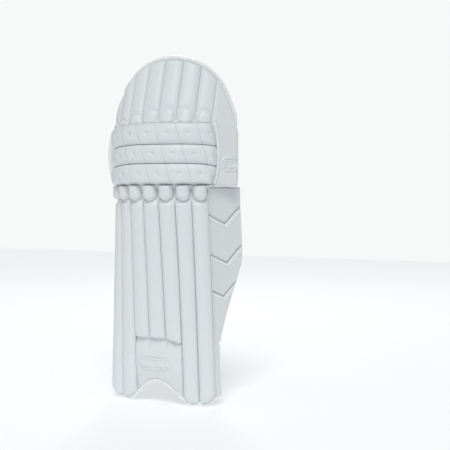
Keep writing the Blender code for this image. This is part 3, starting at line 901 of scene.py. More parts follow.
def roll_border():
    """The thick curved pipings round the rolls' ends, wider on the inner side."""
    levels = steps(50, 444, 565)
    path = [top_point(KNEE_HALF + 1.8 + BORDER_BOW * bow(z), z, 10.5 - 3 * ridge(z - 444, 8)) for z in levels]
    cord("knee", "roll_border", PIPING, path, 8.0, 13.0, shell(3.9, 500, 10) - shell(3.9, 500, 0), 14)
    path = [top_point(-KNEE_HALF - 0.5, z, 8 + 12.5 * bow(z) ** 0.7) for z in steps(50, 444, 558)]
    cord("knee", "inner_roll_border", PIPING, path, 9.0, 17.0, shell(-3.7, 500, 10) - shell(-3.7, 500, 0), 18)


def outer_knee_panel():
    def spot(u, v):
        """Width, level, and how far inside the panel's outline."""
        z = lerp(WAIST, BROW - 1.0 - PANEL_SLANT * u, v)
        width = lerp(5.0 + BORDER_BOW * bow(z), PANEL_WIDTH, u)
        top = BROW - 1.0 - PANEL_SLANT * width / PANEL_WIDTH
        return width, z, min(PANEL_WIDTH - width, (z - WAIST) * 0.5, (top - z) * 4)

    def height(width, z, inside):
        out = 4.5 + 5.5 * dome(inside / 6.0) + 0.5 * lumps(width, z, 30, 8.0)
        out += emboss_ring(width - KNEE_RING[0], z - KNEE_RING[1], *KNEE_RING[2:])
        return out - 0.8 * ridge(PANEL_WIDTH - width - 5, 0.8)

    outs = (height, 0.6)
    piece = slab("outer_knee_panel_padded", LEATHER, panel_point, outs, 70, 110, 60.0, None, spot)
    belongs(piece, "knee", "cover_leather", "outer_knee_panel_cover", "outer_knee_panel_foam", fill=0.6)
    path = [panel_point(PANEL_WIDTH + 0.8, z, 4.6) for z in spread(WAIST + 2, BROW - 9, 40)]
    cord("knee", "outer_knee_piping", PIPING, path, 3.4)


def inner_knee_panel():
    def spot(u, v):
        """Width, level, and how far inside the panel's outline."""
        width = lerp(INNER_PANEL_WIDTH, -9.0, u)
        rounded = CORNER * (max(0.0, width) / INNER_PANEL_WIDTH) ** 3
        z = lerp(WAIST + rounded, BROW - 2 - rounded, v)
        return width, z, min(INNER_PANEL_WIDTH - width, z - WAIST - rounded, BROW - 2 - rounded - z)

    def surface(width, z, out):
        if width < 0:
            return shell(-HALF_RIBS - width / KNEE_RIB, z, out)
        return inner_panel_point(width, z, out)

    def height(width, z, inside):
        out = 3.5 + 7.5 * dome(inside / 9.0) + 3.5 * ridge(width - 3, 9) + 0.6 * lumps(width, z, 25, 5.0)
        return out - 1.0 * ridge(INNER_PANEL_WIDTH - width - 5.5, 0.9)

    piece = slab("inner_knee_panel_padded", LEATHER, surface, (height, 1.0), 40, 80, 26.0, None, spot)
    belongs(piece, "knee", "cover_leather", "inner_knee_panel", fill=0.6)


# ---- top front

BROW_LINE = 566.0
TOP_CREST = 14.5
RIM = 5.5
TOP_CAP_ROUND, TOP_CAP_HALF, TOP_CAP_CREST = 13.0, 0.40, 17.5
TOP_OUTER = KNEE_HALF + PANEL_WIDTH  # the top's outer edge, from the middle rib


def cap_top(across):
    """Height of the top ribs' stuffed ends, which fall away towards the inner side."""
    fall = (2.0 if across < 1 else 1.2) * (across - 1) ** 2
    return max(575.0, 593.5 - fall) - 0.5 * droop(across * KNEE_RIB)


def rim_inside(distance, z, margin=RIM):
    """How far inside the top's outline a point lies."""
    slope = (dome_top(distance + 1, margin) - dome_top(distance - 1, margin)) / 2
    above = (dome_top(distance, margin) - z) / math.sqrt(1 + slope * slope)
    low, high = -KNEE_HALF + margin, TOP_OUTER - margin
    return max(0.0, min(above, distance - low, high - distance))


def top_height(distance, z):
    edge = dome(rim_inside(distance, z) / 7.0)
    across = distance / KNEE_RIB
    if distance > KNEE_HALF:
        out = RIB_SEAM + 3.0 * dome((distance - KNEE_HALF) / 9) + 0.5 * lumps(distance, z, 35, 2.0)
        return lerp(4.5, out, edge)
    out = lerp(rib_body(across, z), TOP_CREST, 0.25)
    peak = cap_top(math.floor(across + HALF_RIBS) + 0.5 - HALF_RIBS)
    if z < peak + 14:
        drop = max(0.0, (z - peak + TOP_CAP_ROUND) / TOP_CAP_ROUND)
        reach = math.hypot(abs((across + HALF_RIBS) % 1.0 - 0.5) / TOP_CAP_HALF, drop)
        out -= 2.6 * rib_profile(across) * ridge(max(0.0, reach - 1) * 12, 4.0)
        out += (TOP_CAP_CREST - 13.5) * max(0.0, 1 - reach**3) ** 0.5
    return lerp(4.5, out, edge)


def top_level(distance, v):
    edge = dome_top(distance, RIM)
    low = BROW_LINE - 5.0 * max(0.0, distance - KNEE_HALF) / PANEL_WIDTH - 0.7 * droop(distance)
    return between((low, min(602.0, lerp(low, edge, 0.6)), edge - min(12.0, 0.3 * (edge - low)), edge), v)


def top_front():
    first = -KNEE_HALF + RIM
    columns = [across * KNEE_RIB for across in rib_columns()]
    columns = [first] + [distance for distance in columns[1:] if distance > first + 0.3]
    columns += steps(36, KNEE_HALF + 1.5, TOP_OUTER - RIM)
    rows = spread(0, 1, 34) + spread(1, 2, 26) + steps(14, 2, 3)

    def spot(distance, v):
        return distance, top_level(distance, v)

    # painted shade between the ribs and at the low rim
    def crease(distance, z):
        return seam_depth(top_height(distance, z)) if distance < KNEE_HALF else 0.0

    outs = (top_height, 1.0)
    piece = slab("top_front_cover_stuffed", LEATHER, top_point, outs, columns, rows, 1.0, crease, spot)
    belongs(piece, "top_hat", "cover_leather", "top_front_cover", "top_board", *TOP_CORES, fill=0.9)
    levels = spread(BROW_LINE, dome_top(KNEE_HALF, RIM) - 2, 40)
    cord("top_hat", "top_side_piping", PIPING, [top_point(KNEE_HALF + 0.5, z, 8.6) for z in levels], 4.2)


def rim_path(margin, out):
    """Round the top's outline, from the brow on one side to the brow on the other."""
    sides = (-KNEE_HALF + margin, TOP_OUTER - margin)
    levels = spread(BROW_LINE - 3, DOME_START, 6)
    points = [top_point(sides[0], z, out) for z in levels]
    for degrees in steps(120, 2, 178):
        swing = (KNEE_HALF + PANEL_WIDTH / 2) * math.cos(math.radians(degrees))
        distance = clamp(PANEL_WIDTH / 2 - swing, *sides)
        point = top_point(distance, dome_top(distance, 0) - margin, out)
        if (point - points[-1]).length > 1.5:
            points.append(point)
    return points + [top_point(sides[1], z - 6 * (DOME_START - z) / 15, out) for z in levels[::-1]]


def top_rim():
    """The padded pale rim of the top."""
    path = rim_path(3.2, 1.0)
    facing = [b - a for a, b in zip(path, rim_path(3.2, 21.0))]
    cord("top_hat", "top_rim", PIPING, path, 10.5, 15.0, facing, sides=18, nodes=("top_binding",))


# ---- creases between the sections

KNEE_JOINT = ("shin", "knee", 0.029)  # the two bodies, and the hinge's y in metres
TOP_JOINT = ("knee", "top_hat", 0.009)


def top_or_shin(distance, z, out):
    """A point by distance from the middle rib, on the shin below the waist and on the knee above it."""
    if z < WAIST:
        return shell(clamp(distance / KNEE_RIB, -3.5, 3.5), z, out)
    return top_point(distance, z, out)


def joins(piece, joint, slot, low, high):
    """Bakes the piece's place into its mesh; the joint and the two levels are not used."""
    lower, upper, y = joint
    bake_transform(piece)


def crossing(name, look, joint, slot, low, high, out, bulge, columns):
    """A soft strip that joins two sections over a crease."""
    def place(u, v, back):
        sink = 0.7 * droop(u) if low > WAIST else 0.0
        lower, upper = top_or_shin(u, low - sink, out), top_or_shin(u, high - sink, out)
        lifted = top_or_shin(u, high, out + bulge) - upper
        return lower.lerp(upper, v) + lifted * (math.sin(math.pi * v) - back)

    piece = slab(name, look, place, (0.0, 1.2 / bulge), steps(120, *columns), 12)
    joins(piece, joint, slot, low, high)


def crease_end(name, joint, low, high, distance):
    """Closes a crease at the shell's edge, between its front strip and its back strip."""
    def place(u, v, inwards):
        across = distance - math.copysign(inwards, distance)
        out = lerp(-3.4, 9.5, u)
        return top_or_shin(across, low, out).lerp(top_or_shin(across, high, out), v)

    columns = steps(10)
    if distance > 0:
        columns.reverse()
    joins(slab(name, LEATHER, place, (0.0, 1.5), columns, 12), joint, "cover_leather", low, high)


def creases():
    leather, lining = (LEATHER, "cover_leather"), (LINING, "lining")
    for name, (look, slot), joint, low, high, out, bulge, columns in (
        ("knee_crease_front", leather, KNEE_JOINT, 434, 449, 8.0, 3.0, (-121, 120)),
        ("brow_crease_front", leather, TOP_JOINT, 553, 574, 9.0, 3.0, (-116, 175)),
        ("knee_crease_back", lining, KNEE_JOINT, 432, 452, -2.6, -1.2, (-121, 119)),
        ("brow_crease_back", lining, TOP_JOINT, 552, 574, -2.6, -1.2, (-121, 173)),
    ):
        crossing(name, look, joint, slot, low, high, out, bulge, columns)
    edge = KNEE_HALF - 0.5
    crease_end("knee_crease_inner_end", KNEE_JOINT, 431, 453, -edge)
    crease_end("knee_crease_outer_end", KNEE_JOINT, 431, 453, edge)
    crease_end("brow_crease_inner_end", TOP_JOINT, 549, 577, -edge)
    path = []
    for across in spread(-3.4, 3.45, 160):
        distance = across * KNEE_RIB
        z = BROW_LINE - 0.6 - 0.7 * droop(distance)
        path.append(top_point(distance, z, 14.0 + 2.5 * math.cos(2 * math.pi * across)))
    cord("knee", "brow_piping", PIPING, path, 2.6)


# ---- wing

WING_HEAD = WING_TOP + 2.5  # the padding closes up to the knee
GROOVES = ((365.0, 46.0), (285.5, 46.0), (218.0, 33.0))  # tip height and tip width of each chevron
# the last is how far below a groove's line its pale strip of painted highlight lies
GROOVE_DEPTH, GROOVE_BEVEL, HIGHLIGHT_DROP = 4.2, 8.5, 5.2
WING_BACK = -5.2
SEGMENTS = [f"wing_segment_{number}" for number in range(1, 5)]


def wing_width(z):
    """Full at the calf, then a nearly straight taper to the ankle."""
    part = clamp((z - WING_BOTTOM) / 160)
    corner = math.exp(-abs(z - 286) / 12) * 3.0
    return lerp(21.0, WING_WIDTH, part**1.2) - corner


def groove(width, tip, middle):
    """The level of a chevron's line at a width, and its length for one unit of width."""
    rise = 0.42 if width < middle else 0.76
    return tip + rise * abs(width - middle), math.hypot(1, rise)


def wing_out(width, z, edge):
    out = 1.5 + 0.5 * lumps(width, z, 40, 6.0) + 2.2 * ridge(width, 4.0) + 2.5 * ease((z - 385) / 50)
    for tip, middle in GROOVES:
        level, steep = groove(width, tip, middle)
        above = (z - level) / steep
        if above > 0:
            out -= GROOVE_DEPTH * ridge(above, 1.2)
        elif above > -GROOVE_BEVEL:
            out -= GROOVE_DEPTH * (1 + above / GROOVE_BEVEL)
        out += 1.2 * ridge(above + 9.6, 1.5)
    inside = min(edge - width, WING_HEAD - z, (z - WING_BOTTOM) * 1.6)
    return lerp(-3.5, out, dome(inside / 4.5))


def wing_front():
    def spot(u, v):
        z = lerp(WING_BOTTOM, WING_HEAD, v)
        edge = wing_width(z)
        return lerp(-1.0, edge, u), z, edge

    # painted shade in the grooves and other low places
    def crease(width, z, edge):
        return clamp(0.4 - wing_out(width, z, edge) * 0.25) * (width < edge * 0.97)

    outs = (wing_out, WING_BACK)
    piece = slab("wing_padded", LEATHER, wing_point, outs, 64, 230, 92.0, crease, spot)
    belongs(piece, "calf_wing", "cover_leather", *SEGMENTS, fill=0.7)


def wing_back():
    def spot(u, v):
        z = lerp(WING_BOTTOM + 1, WING_TOP - 1, v)
        edge = wing_width(z) - 0.5
        return lerp(4, edge, u), z, edge, u

    def depth(width, z, edge, u):
        puff = dome(min(edge - width, width - 4, WING_TOP - z, z - WING_BOTTOM) / 12)
        return -8.2 - 2.4 * puff + 0.8 * lumps(u * 90, z, 22, 4.0)

    piece = slab("wing_lining_cloth", LINING, wing_point, (-5.6, depth), 40, 120, 90.0, None, spot)
    belongs(piece, "calf_wing", "lining", "wing_lining")


def wing_trim():
    """Pale strips on the grooves' bevels as a painted highlight, the bound edge and its stitches."""
    facing = wing_point(50, 300, 1) - wing_point(50, 300, 0)
    # pale strips on the bevels below the grooves: a painted highlight
    for number, (tip, middle) in enumerate(GROOVES, 1):
        path = []
        for width in spread(0.5, wing_width(tip) + 12, 60):
            level, steep = groove(width, tip, middle)
            z = level - HIGHLIGHT_DROP * steep
            edge = wing_width(z)
            if width < edge - 3:
                path.append(wing_point(width, z, wing_out(width, z, edge) + 0.3))
        cord("calf_wing", f"wing_inset_{number}", PIPING, path, 6.2, 2.8, facing, sides=12)
    levels = spread(WING_BOTTOM + 1, WING_TOP - 1, 90)
    path = [wing_point(wing_width(z) + 0.9, z, -5.4) for z in levels]
    cord("calf_wing", "wing_edge_binding", PIPING, path, 3.6, 6.8, facing, sides=12, nodes=("wing_binding",))
    edges = [(wing_width(z), z) for z in levels[2:-2]]
    seam = [wing_point(edge - 4.2, z, wing_out(edge - 4.2, z, edge) + 0.2) for edge, z in edges]
    belongs(stitches("wing_edge_stitches", seam, 4.2, 2.8, 0.7), "calf_wing", "piping")


# ---- back of the shin

QUILT_PITCH = 78.0  # a diamond's height
QUILT_START = 62.0
BOLSTERS = (("outer_bolster", 1.78), ("inner_bolster", -1.78))
BOLSTER_HALF, BOLSTER_DEPTH, BOLSTER_BOTTOM, BOLSTER_TOP = 27.5, 32.0, 42.0, 426.0
EDGE_PADS = (("outer_edge_pad", 2.68, 3.42), ("inner_edge_pad", -3.42, -2.68))


def unwrap(point):
    """(across, out) of a point behind or on the shell."""
    x, y, z = point - FRAME_SHIFT
    y -= setback(z)
    r = radius(z, x)
    slid = math.atan2(x, r - y) * r / rib_width(z)
    across = slid
    for _ in range(5):
        across = slid - slide(across, z)
    return across, math.hypot(x, r - y) - r


def shin_lining():
    def place(across, v, out):
        return shell(across, lerp(sole(across) - 1.0, WAIST - 3, v), out)

    def depth(across, v):
        z = lerp(sole(across), WAIST - 3, v)
        wrinkle = 0.7 * lumps(across * 30, z, 16, 1.0) + 0.5 * lumps(across * 60, z * 0.4, 9, 2.0)
        edge = dome((HALF_RIBS - abs(across)) * 9) * dome((z - sole(across)) / 6)
        return -1.4 - 1.2 * edge + wrinkle * edge * 0.6

    piece = slab("shin_lining_cloth", LINING, place, (-0.3, depth), steps(120, -3.46, 3.46), 110, 33.0)
    belongs(piece, "shin", "lining", "shin_lining")


def edge_pad(name, low, high):
    """A narrow lilac-white padded strip between a bolster and the pad's edge."""
    def spot(across, v):
        return across, lerp(58, WAIST - 8, v), v

    def depth(across, z, v):
        puff = dome(min(across - low, high - across) * 33 / 9) * dome(min(v, 1 - v) * 30)
        return -3.0 - 5.5 * puff + 0.8 * lumps(across * 40, z, 26, 9.0)

    piece = slab(name, LILAC, shell, (-2.7, depth), steps(22, low, high), 120, 33.0, None, spot)
    belongs(piece, "shin", "lining", fill=0.5)


def fill_share(t):
    return lerp(0.12, 1.0, dome(min(t, 1 - t) * 11))


def cushion_ring(u, z, middle, half, depth, share):
    """A point round a cushion's girth, as u goes from 0 to 1: a rounded box, flat on the lining."""
    angle = 2 * math.pi * u
    side, back = (math.copysign(abs(part) ** 0.75, part) for part in (math.cos(angle), math.sin(angle)))
    out = -3.2 - depth / 2 - depth / 2 * (0.35 + 0.65 * share) * back
    return shell(middle + half * share * side / WAIST_RIB, z, min(out, -3.2))


def quilt_side(z):
    """Where a zigzag seam lies, from -1 to 1 over the bolster's width. The other seam mirrors it."""
    return 2 * abs(((z - QUILT_START) / QUILT_PITCH) % 2 - 1) - 1


def seam_distance(point, middle):
    across, out = unwrap(point)
    if out > -9:
        return 99.0
    side = (across - middle) * WAIST_RIB / BOLSTER_HALF
    gap = min(abs(side - quilt_side(point.z)), abs(side + quilt_side(point.z)))
    return gap * BOLSTER_HALF * 0.82


def end_distance(point):
    return min(point.z - BOLSTER_BOTTOM, BOLSTER_TOP - point.z)


def bolster(name, middle):
    """A quilted bolster: its cover is blown up between held seams, and then the seams are pressed in."""
    heights = [0.5 - 0.5 * math.cos(math.pi * t) for t in steps(130)]
    heights = [lerp(t, i / 130, 0.45) for i, t in enumerate(heights)]

    def ring(u, t):
        z = lerp(BOLSTER_BOTTOM + 1.5, BOLSTER_TOP - 1.5, t)
        return cushion_ring(u, z, middle, BOLSTER_HALF - 0.5, BOLSTER_DEPTH - 3.0, fill_share(t))

    # painted shade along the pressed quilting seams
    def crease(u, t):
        return ridge(seam_distance(ring(u, t), middle), 3.0)

    def sinks(point):
        return 2.6 * ease((end_distance(point) - 4) / 14) * ridge(seam_distance(point, middle), 2.4)

    def stays(point, _):
        return unwrap(point)[1] > -6 or end_distance(point) < 9 or seam_distance(point, middle) < 2.0

    piece = tube(f"{name}_quilted", QUILT, ring, 48, heights, 150.0, crease, sharp=180)
    inflate(piece, stays, pressure=3.0, most=3.5, slack=0.01)
    subdivide(piece)
    press(piece, sinks)
    belongs(piece, "shin", "cushion", f"{name}_cover", f"{name}_filling", fill=0.85)
    surface = surface_of(piece)
    facing = shell(middle, 200, 0) - shell(middle, 200, 9)
    for number, sign in enumerate((1, -1), 1):
        path = seam_path(surface, middle, sign)
        belongs(stitches(f"{name}_seam_{number}", path, 3.6, 3.0, 0.9, facing), "shin", "cushion")


def seam_path(surface, middle, sign):
    """One zigzag seam on a bolster's finished surface, found from behind."""
    path = []
    for z in range(50, 421, 2):
        across = middle + sign * quilt_side(z) * (BOLSTER_HALF - 1) / WAIST_RIB
        start, aim = shell(across, z, -75), shell(across, z, 0)
        hit = surface.ray_cast(start, (aim - start).normalized())[0]
        if hit:
            path.append(hit)
    return path


def shin_cushion():
    """The satin centre cushion: crowned, with its two long edges gathered into the lining."""
    heights = [0.0, 0.004] + [i / 100 for i in range(1, 100)] + [0.996, 1.0]

    def ring(u, t):
        return cushion_ring(u, lerp(78, 426, t), 0.0, 28.0, 14.5, 0.5 + 0.5 * fill_share(t))

    # painted shade at the gathered long edges and at the ends
    def crease(u, t):
        return clamp(abs(math.cos(2 * math.pi * u)) * 1.5 - 0.8) + 0.6 * ridge(min(t, 1 - t), 0.02)

    piece = tube("shin_cushion_satin", SATIN, ring, 44, heights, 96.0, crease, sharp=180)
    inflate(piece, lambda point, _: unwrap(point)[1] > -6, pressure=2.5, most=4.0, slack=0.03)
    subdivide(piece)
    belongs(piece, "shin", "cushion", "shin_cushion_cover", "shin_cushion_filling", fill=0.6)


# ---- back of the knee

PAD_LEVEL, PAD_HALF, PAD_TALL = 505.0, 21.0, 36.0
POCKET_SIDES, POCKET_BOTTOM, POCKET_TOP = (-2.3, 2.1), 451.0, 557.0


def knee_lining():
    def depth(distance, z):
        return -1.9 + 0.5 * lumps(distance, z, 18, 7.0)

    columns, rows = steps(100, -KNEE_HALF - 0.4, KNEE_HALF), steps(60, WAIST + 3, BROW - 3)
    belongs(slab("knee_lining_cloth", LINING, top_point, (-0.4, depth), columns, rows), "knee", "lining")


def outer_knee_lining():
    def place(u, v, out):
        width = lerp(1.0, PANEL_WIDTH - 0.5, u)
        return panel_point(width, lerp(WAIST + 1, BROW - 3 - 13 * u, v), out)

    def depth(u, v):
        puff = dome(min(u, 1 - u) * 8) * dome(min(v, 1 - v) * 14)
        return -0.8 - 1.6 * puff + 0.5 * lumps(u * 60, v * 120, 20, 3.0)

    piece = slab("outer_knee_lining", LINING, place, (0.4, depth), 44, 70, 60.0)
    belongs(piece, "knee", "lining")


def inner_knee_lining():
    def spot(u, v):
        width = lerp(INNER_PANEL_WIDTH - 1, 1.0, u)
        rounded = CORNER * (width / INNER_PANEL_WIDTH) ** 3
        return width, lerp(WAIST + rounded + 1, BROW - 3 - rounded, v)

    def depth(width, z):
        return -0.6 + 0.4 * lumps(width, z, 15, 2.0)

    outs = (0.9, depth)
    piece = slab("inner_knee_lining", LINING, inner_panel_point, outs, 16, 60, 26.0, None, spot)
    belongs(piece, "knee", "lining")


def knee_pocket():
    """The pocket gathered round the oval knee pad in radiating pleats, between two hems."""
    def depth(across, z):
        x, y = across * KNEE_RIB / PAD_HALF, (z - PAD_LEVEL) / PAD_TALL
        around, away = math.atan2(y, x), math.hypot(x, y)
        fold = abs(math.sin(11 * around + 1.6 * lumps(across * 20, z, 25, 4.0)))
        near_hem = dome(min(z - POCKET_BOTTOM, POCKET_TOP - z) / 14)
        rise = 3.6 * fold**0.8 * ease((away - 0.95) / 0.5) * (0.55 + 0.45 * near_hem)
        return -3.2 - 2.2 * ease((away - 0.9) / 0.4) - rise + 0.6 * lumps(across * 34, z, 7, 6.0)

    # painted shade in the hollows between the pleats
    def crease(across, z):
        return clamp((depth(across, z) + 7.5) / 4)

    columns, rows = steps(160, *POCKET_SIDES), steps(120, POCKET_BOTTOM, POCKET_TOP)
    piece = slab("knee_pocket_gathered", POCKET, shell, (depth, -2.6), columns, rows, KNEE_RIB, crease)
    belongs(piece, "knee", "lining", "knee_cup", fill=0.3)
    for name, z in (("lower", POCKET_BOTTOM), ("upper", POCKET_TOP)):
        path = [shell(across, z, -5.0) for across in spread(*POCKET_SIDES, 60)]
        hem = piping(f"knee_pocket_{name}_hem", POCKET, path, 6.0, 5.0, Vector((0, 1, 0)))
        belongs(hem, "knee", "lining")


def knee_pad():
    """The smooth oval pad over the kneecap, crowned behind and piped round its rim."""
    away = shell(0, 500, -1) - shell(0, 500, 0)

    def ring(u, v):
        wide, back = math.cos(2 * math.pi * u), math.sin(2 * math.pi * u)
        full = math.sqrt(max(0.0, 1 - v * v))
        centre = shell(PAD_HALF * full * wide / KNEE_RIB, PAD_LEVEL + PAD_TALL * v, -8.5)
        return centre + away * (6.5 * max(0.0, back) ** 0.6 * full**0.5 - 1.5 * max(0.0, -back) ** 0.6)

    rows = [math.sin(math.radians(degrees)) for degrees in steps(44, -86, 86)]
    piece = tube("knee_pad_cover", LINING, ring, 48, rows, 90.0, sharp=180)
    inflate(piece, lambda point, _: unwrap(point)[1] > -9, pressure=2.0, most=2.5)
    subdivide(piece)
    belongs(piece, "knee", "lining", "knee_pad", fill=0.8)
    path = []
    for turn in steps(80):
        across = (PAD_HALF + 0.6) * math.cos(2 * math.pi * turn) / KNEE_RIB
        path.append(shell(across, PAD_LEVEL + (PAD_TALL + 0.6) * math.sin(2 * math.pi * turn), -8.2))
    belongs(piping("knee_pad_piping", LINING, path, 2.0), "knee", "lining")


def knee_flap():
    """Towelling flap: rounded upper inner corner, slanted top edge, folded in at the outer edge."""
    def place(u, v, out):
        top = lerp(536, 556, u) - 6 * (2 * u - 1) ** 4 - 12 * max(0.0, (u - 0.86) / 0.14) ** 2
        bottom = lerp(486, 472, ease(u * 2))
        point = panel_point(lerp(PANEL_WIDTH - 4, -18, u), lerp(bottom, top, v), out)
        inward = max(0.0, u - 0.35)
        return point + Vector((-46 * inward, 8 * inward, 0))

    def depth(u, v):
        inside = min(min(u, 1 - u) * 76, min(v, 1 - v) * 70)
        fold = math.sin(math.pi * u) * lumps(u * 76, v * 60, 28, 2.0)
        return -8.3 - 3.2 * dome(inside / 4.5) + 0.6 * ridge(inside - 5.5, 1.2) + fold

    piece = slab("knee_flap_towelling", TOWELLING, place, (-6.4, depth), steps(90, 1, 0), 70, -76.0)
    belongs(piece, "flap", "towelling", "knee_flap", fill=0.35)


# ---- back of the top

LINER = 6.0  # how far inside the top's outline its liner ends


def liner_level(distance, v):
    low = BROW + 3 - 13 * ease((70 - abs(distance - 10)) / 34)
    return lerp(low, dome_top(distance, LINER), v)


def liner_depth(distance, v):
    """Puffy, with a rolled rim outside its seam and two wrinkles near the outer edge."""
    z = liner_level(distance, v)
    inside = rim_inside(distance, z, LINER)
    puff = dome((inside - 6.0) / 26.0) if inside > 6 else 0.0
    rim = 2.6 * dome(inside / 3.0) * (1 - ease((inside - 3.5) / 2.5))
    crimp = 0.5 * math.sin(distance * 0.9 + 3 * lumps(distance, z, 30, 3.0)) * ridge(inside - 8, 4.0)
    wrinkle = 0.9 * ridge(z - 606 - 0.35 * (distance - 130), 3) * ridge(distance - 128, 16)
    wrinkle += 0.9 * ridge(z - 596 - 0.25 * (distance - 130), 3) * ridge(distance - 128, 13)
    out = -3.0 - (rim + 7.5 * puff) * dome(v * 9) - crimp + wrinkle
    return out - 0.4 * lumps(distance, z, 60, 5.0) * puff


def top_liner():
    """The puffy liner behind the top, sewn down along a seam inside its rim."""
    def place(distance, v, out):
        return top_point(distance, liner_level(distance, v), out)

    # painted shade along the sunken seam inside the rim
    def crease(distance, v):
        return ridge(rim_inside(distance, liner_level(distance, v), LINER) - 6.0, 1.8)

    def stays(point, index):
        row, column = divmod(index, len(columns))
        return row >= len(rows) or rows[row] < 0.03 or rim_inside(columns[column], point.z, LINER) < 9

    columns, rows = steps(130, -KNEE_HALF + LINER, TOP_OUTER - LINER), steps(76)
    piece = slab("top_liner_padded", LINING, place, (liner_depth, -1.0), columns, rows, 1.0, crease)
    inflate(piece, stays, pressure=2.0, most=2.5)
    belongs(piece, "top_hat", "lining", "top_liner", fill=0.7)


# ---- straps

STRAPS = {
    "ankle": {"level": ANKLE_LEVEL, "bow_back": 128, "end": 0.74, "lands_on": "shin", "tab": (21, 44)},
    "calf": {"level": CALF_LEVEL, "bow_back": 128, "end": 0.80, "lands_on": "calf_wing", "tab": None},
    "knee": {"level": KNEE_LEVEL, "bow_back": 120, "end": 0.82, "lands_on": "knee", "tab": (14, 27)},
}


def strap_route(name, level, bow_back):
    """The strap's line in plan: at(t) runs from its root on the inner side to its landing's tip."""
    z = sum(level) / 2
    tip = {
        "ankle": wing_point(4, z, -15),
        "calf": wing_point(WING_WIDTH - 8, z, -13.5),
        "knee": panel_point(PANEL_WIDTH - 4, z, -9),
    }[name]
    root = inner_panel_point(INNER_PANEL_WIDTH - 4, z, 5.0) if z > WAIST else shell(-HALF_RIBS, z, -2.0)
    root, tip = Vector((root.x - 1.5, root.y + 3, 0)), Vector((tip.x, tip.y, 0))
    handles = (root, root + Vector((2, bow_back, 0)), tip + Vector((-70, bow_back * 0.55, 0)), tip)

    def at(t):
        a, b, c, d = ((1 - t) ** 3, 3 * t * (1 - t) ** 2, 3 * t * t * (1 - t), t**3)
        return handles[0] * a + handles[1] * b + handles[2] * c + handles[3] * d

    return at


def strap_point(route, t, z, back):
    ahead = route(min(1.0, t + 0.01)) - route(max(0.0, t - 0.01))
    outwards = Vector((-ahead.y, ahead.x, 0)).normalized()
    point = route(clamp(t)) + outwards * back
    return Vector((point.x, point.y, z))


def band(name, look, route, first, last, level, back, depth):
    """A strap between two places on its route, with raised selvedges and rounded edges."""
    low, high = level
    length = (route(0.5) - route(0.4)).length * 10

    def outer(t, z):
        inside = min(z - low, high - z)
        lift = 0.7 * ridge(inside - 2.0, 1.1) - 0.6 * ridge(inside - 4.2, 0.8)
        return back - 0.8 * (1 - dome(inside / 1.2)) + lift + 0.15 * lumps(t * length, z, 45, 2.0)

    def inner(_, z):
        return back - depth + 0.6 * (1 - dome(min(z - low, high - z) / 1.2))

    rows = [low, low + 0.3, low + 0.8] + steps(34, low + 1.4, high - 1.4) + [high - 0.8, high - 0.3, high]
    columns = steps(110, first, last)
    return slab(name, look, partial(strap_point, route), (outer, inner), columns, rows, length)


def strap_stitches(name, route, body, spots, back):
    """Rows of stitches at places on a strap: each spot is (start, end), both (t, z)."""
    for number, ((t0, z0), (t1, z1)) in enumerate(spots, 1):
        path = [strap_point(route, lerp(t0, t1, part), lerp(z0, z1, part), back) for part in steps(24)]
        lift = strap_point(route, t0, z0, back + 5) - path[0]
        belongs(stitches(f"{name}_{number}", path, 3.6, 2.5, 0.8, lift), body, "strap_web")


def round_tab(name, route, t, level, back, width, height):
    """A moulded D-shaped pull tab with raised concentric arcs, its straight side on the strap."""
    centre = strap_point(route, t, sum(level) / 2, back)
    ahead = (route(t) - route(t - 0.04)).normalized()
    facing = Vector((-ahead.y, ahead.x, 0))

    def place(angle, share, lift):
        reach = ahead * (math.cos(angle) * width) + Vector((0, 0, math.sin(angle) * height / 2))
        return centre + reach * share + facing * lift

    def top(_, share):
        arcs = sum(ridge((share - at) * height / 2, 0.9) for at in (0.34, 0.62, 0.93))
        return 1.2 + 1.2 * dome((1 - share) * 14) + 1.1 * arcs

    angles = [math.radians(degrees) for degrees in steps(60, -90, 90)]
    shares = [0.02] + steps(44, 0.06, 1)
    return slab(name, RUBBER, place, (top, -0.8), angles, shares, 20.0)


def end_panel(route, first, last, level, back):
    """The calf strap's coated end panel: a rounded end, a raised border and arcs at its inner part."""
    low, high = level
    middle, half = (low + high) / 2, (high - low) / 2 - 1.0
    length = (route(0.6) - route(0.5)).length * 10

    def reach(t):
        return half * dome((last - t) * length / 30.0)

    def spot(t, v):
        return t, middle + v * reach(t), v

    def top(t, z, v):
        before, after = (t - first) * length, (last - t) * length
        inside = min(reach(t) * (1 - abs(v)), after, before)
        centre = math.hypot(before + 12, z - high)
        arcs = sum(1.3 * ridge(centre - r, 1.0) for r in (26, 33, 52)) * dome((inside - 5) / 3)
        lift = 1.3 * dome(inside / 1.5) + 1.4 * ridge(inside - 3.6, 1.0) + arcs
        return back + lift + emboss_ring(after - 42, z - middle, 18, 12) * 0.6

    bend = lerp(first, last, 0.8)
    columns = spread(first, bend, 110) + spread(bend, last, 40) + [last - 0.0004]
    rows = [math.sin(math.radians(degrees)) for degrees in steps(56, -90, 90)]
    surface, outs = partial(strap_point, route), (top, back - 0.4)
    return slab("calf_end_panel", COATED, surface, outs, columns, rows, length, None, spot)


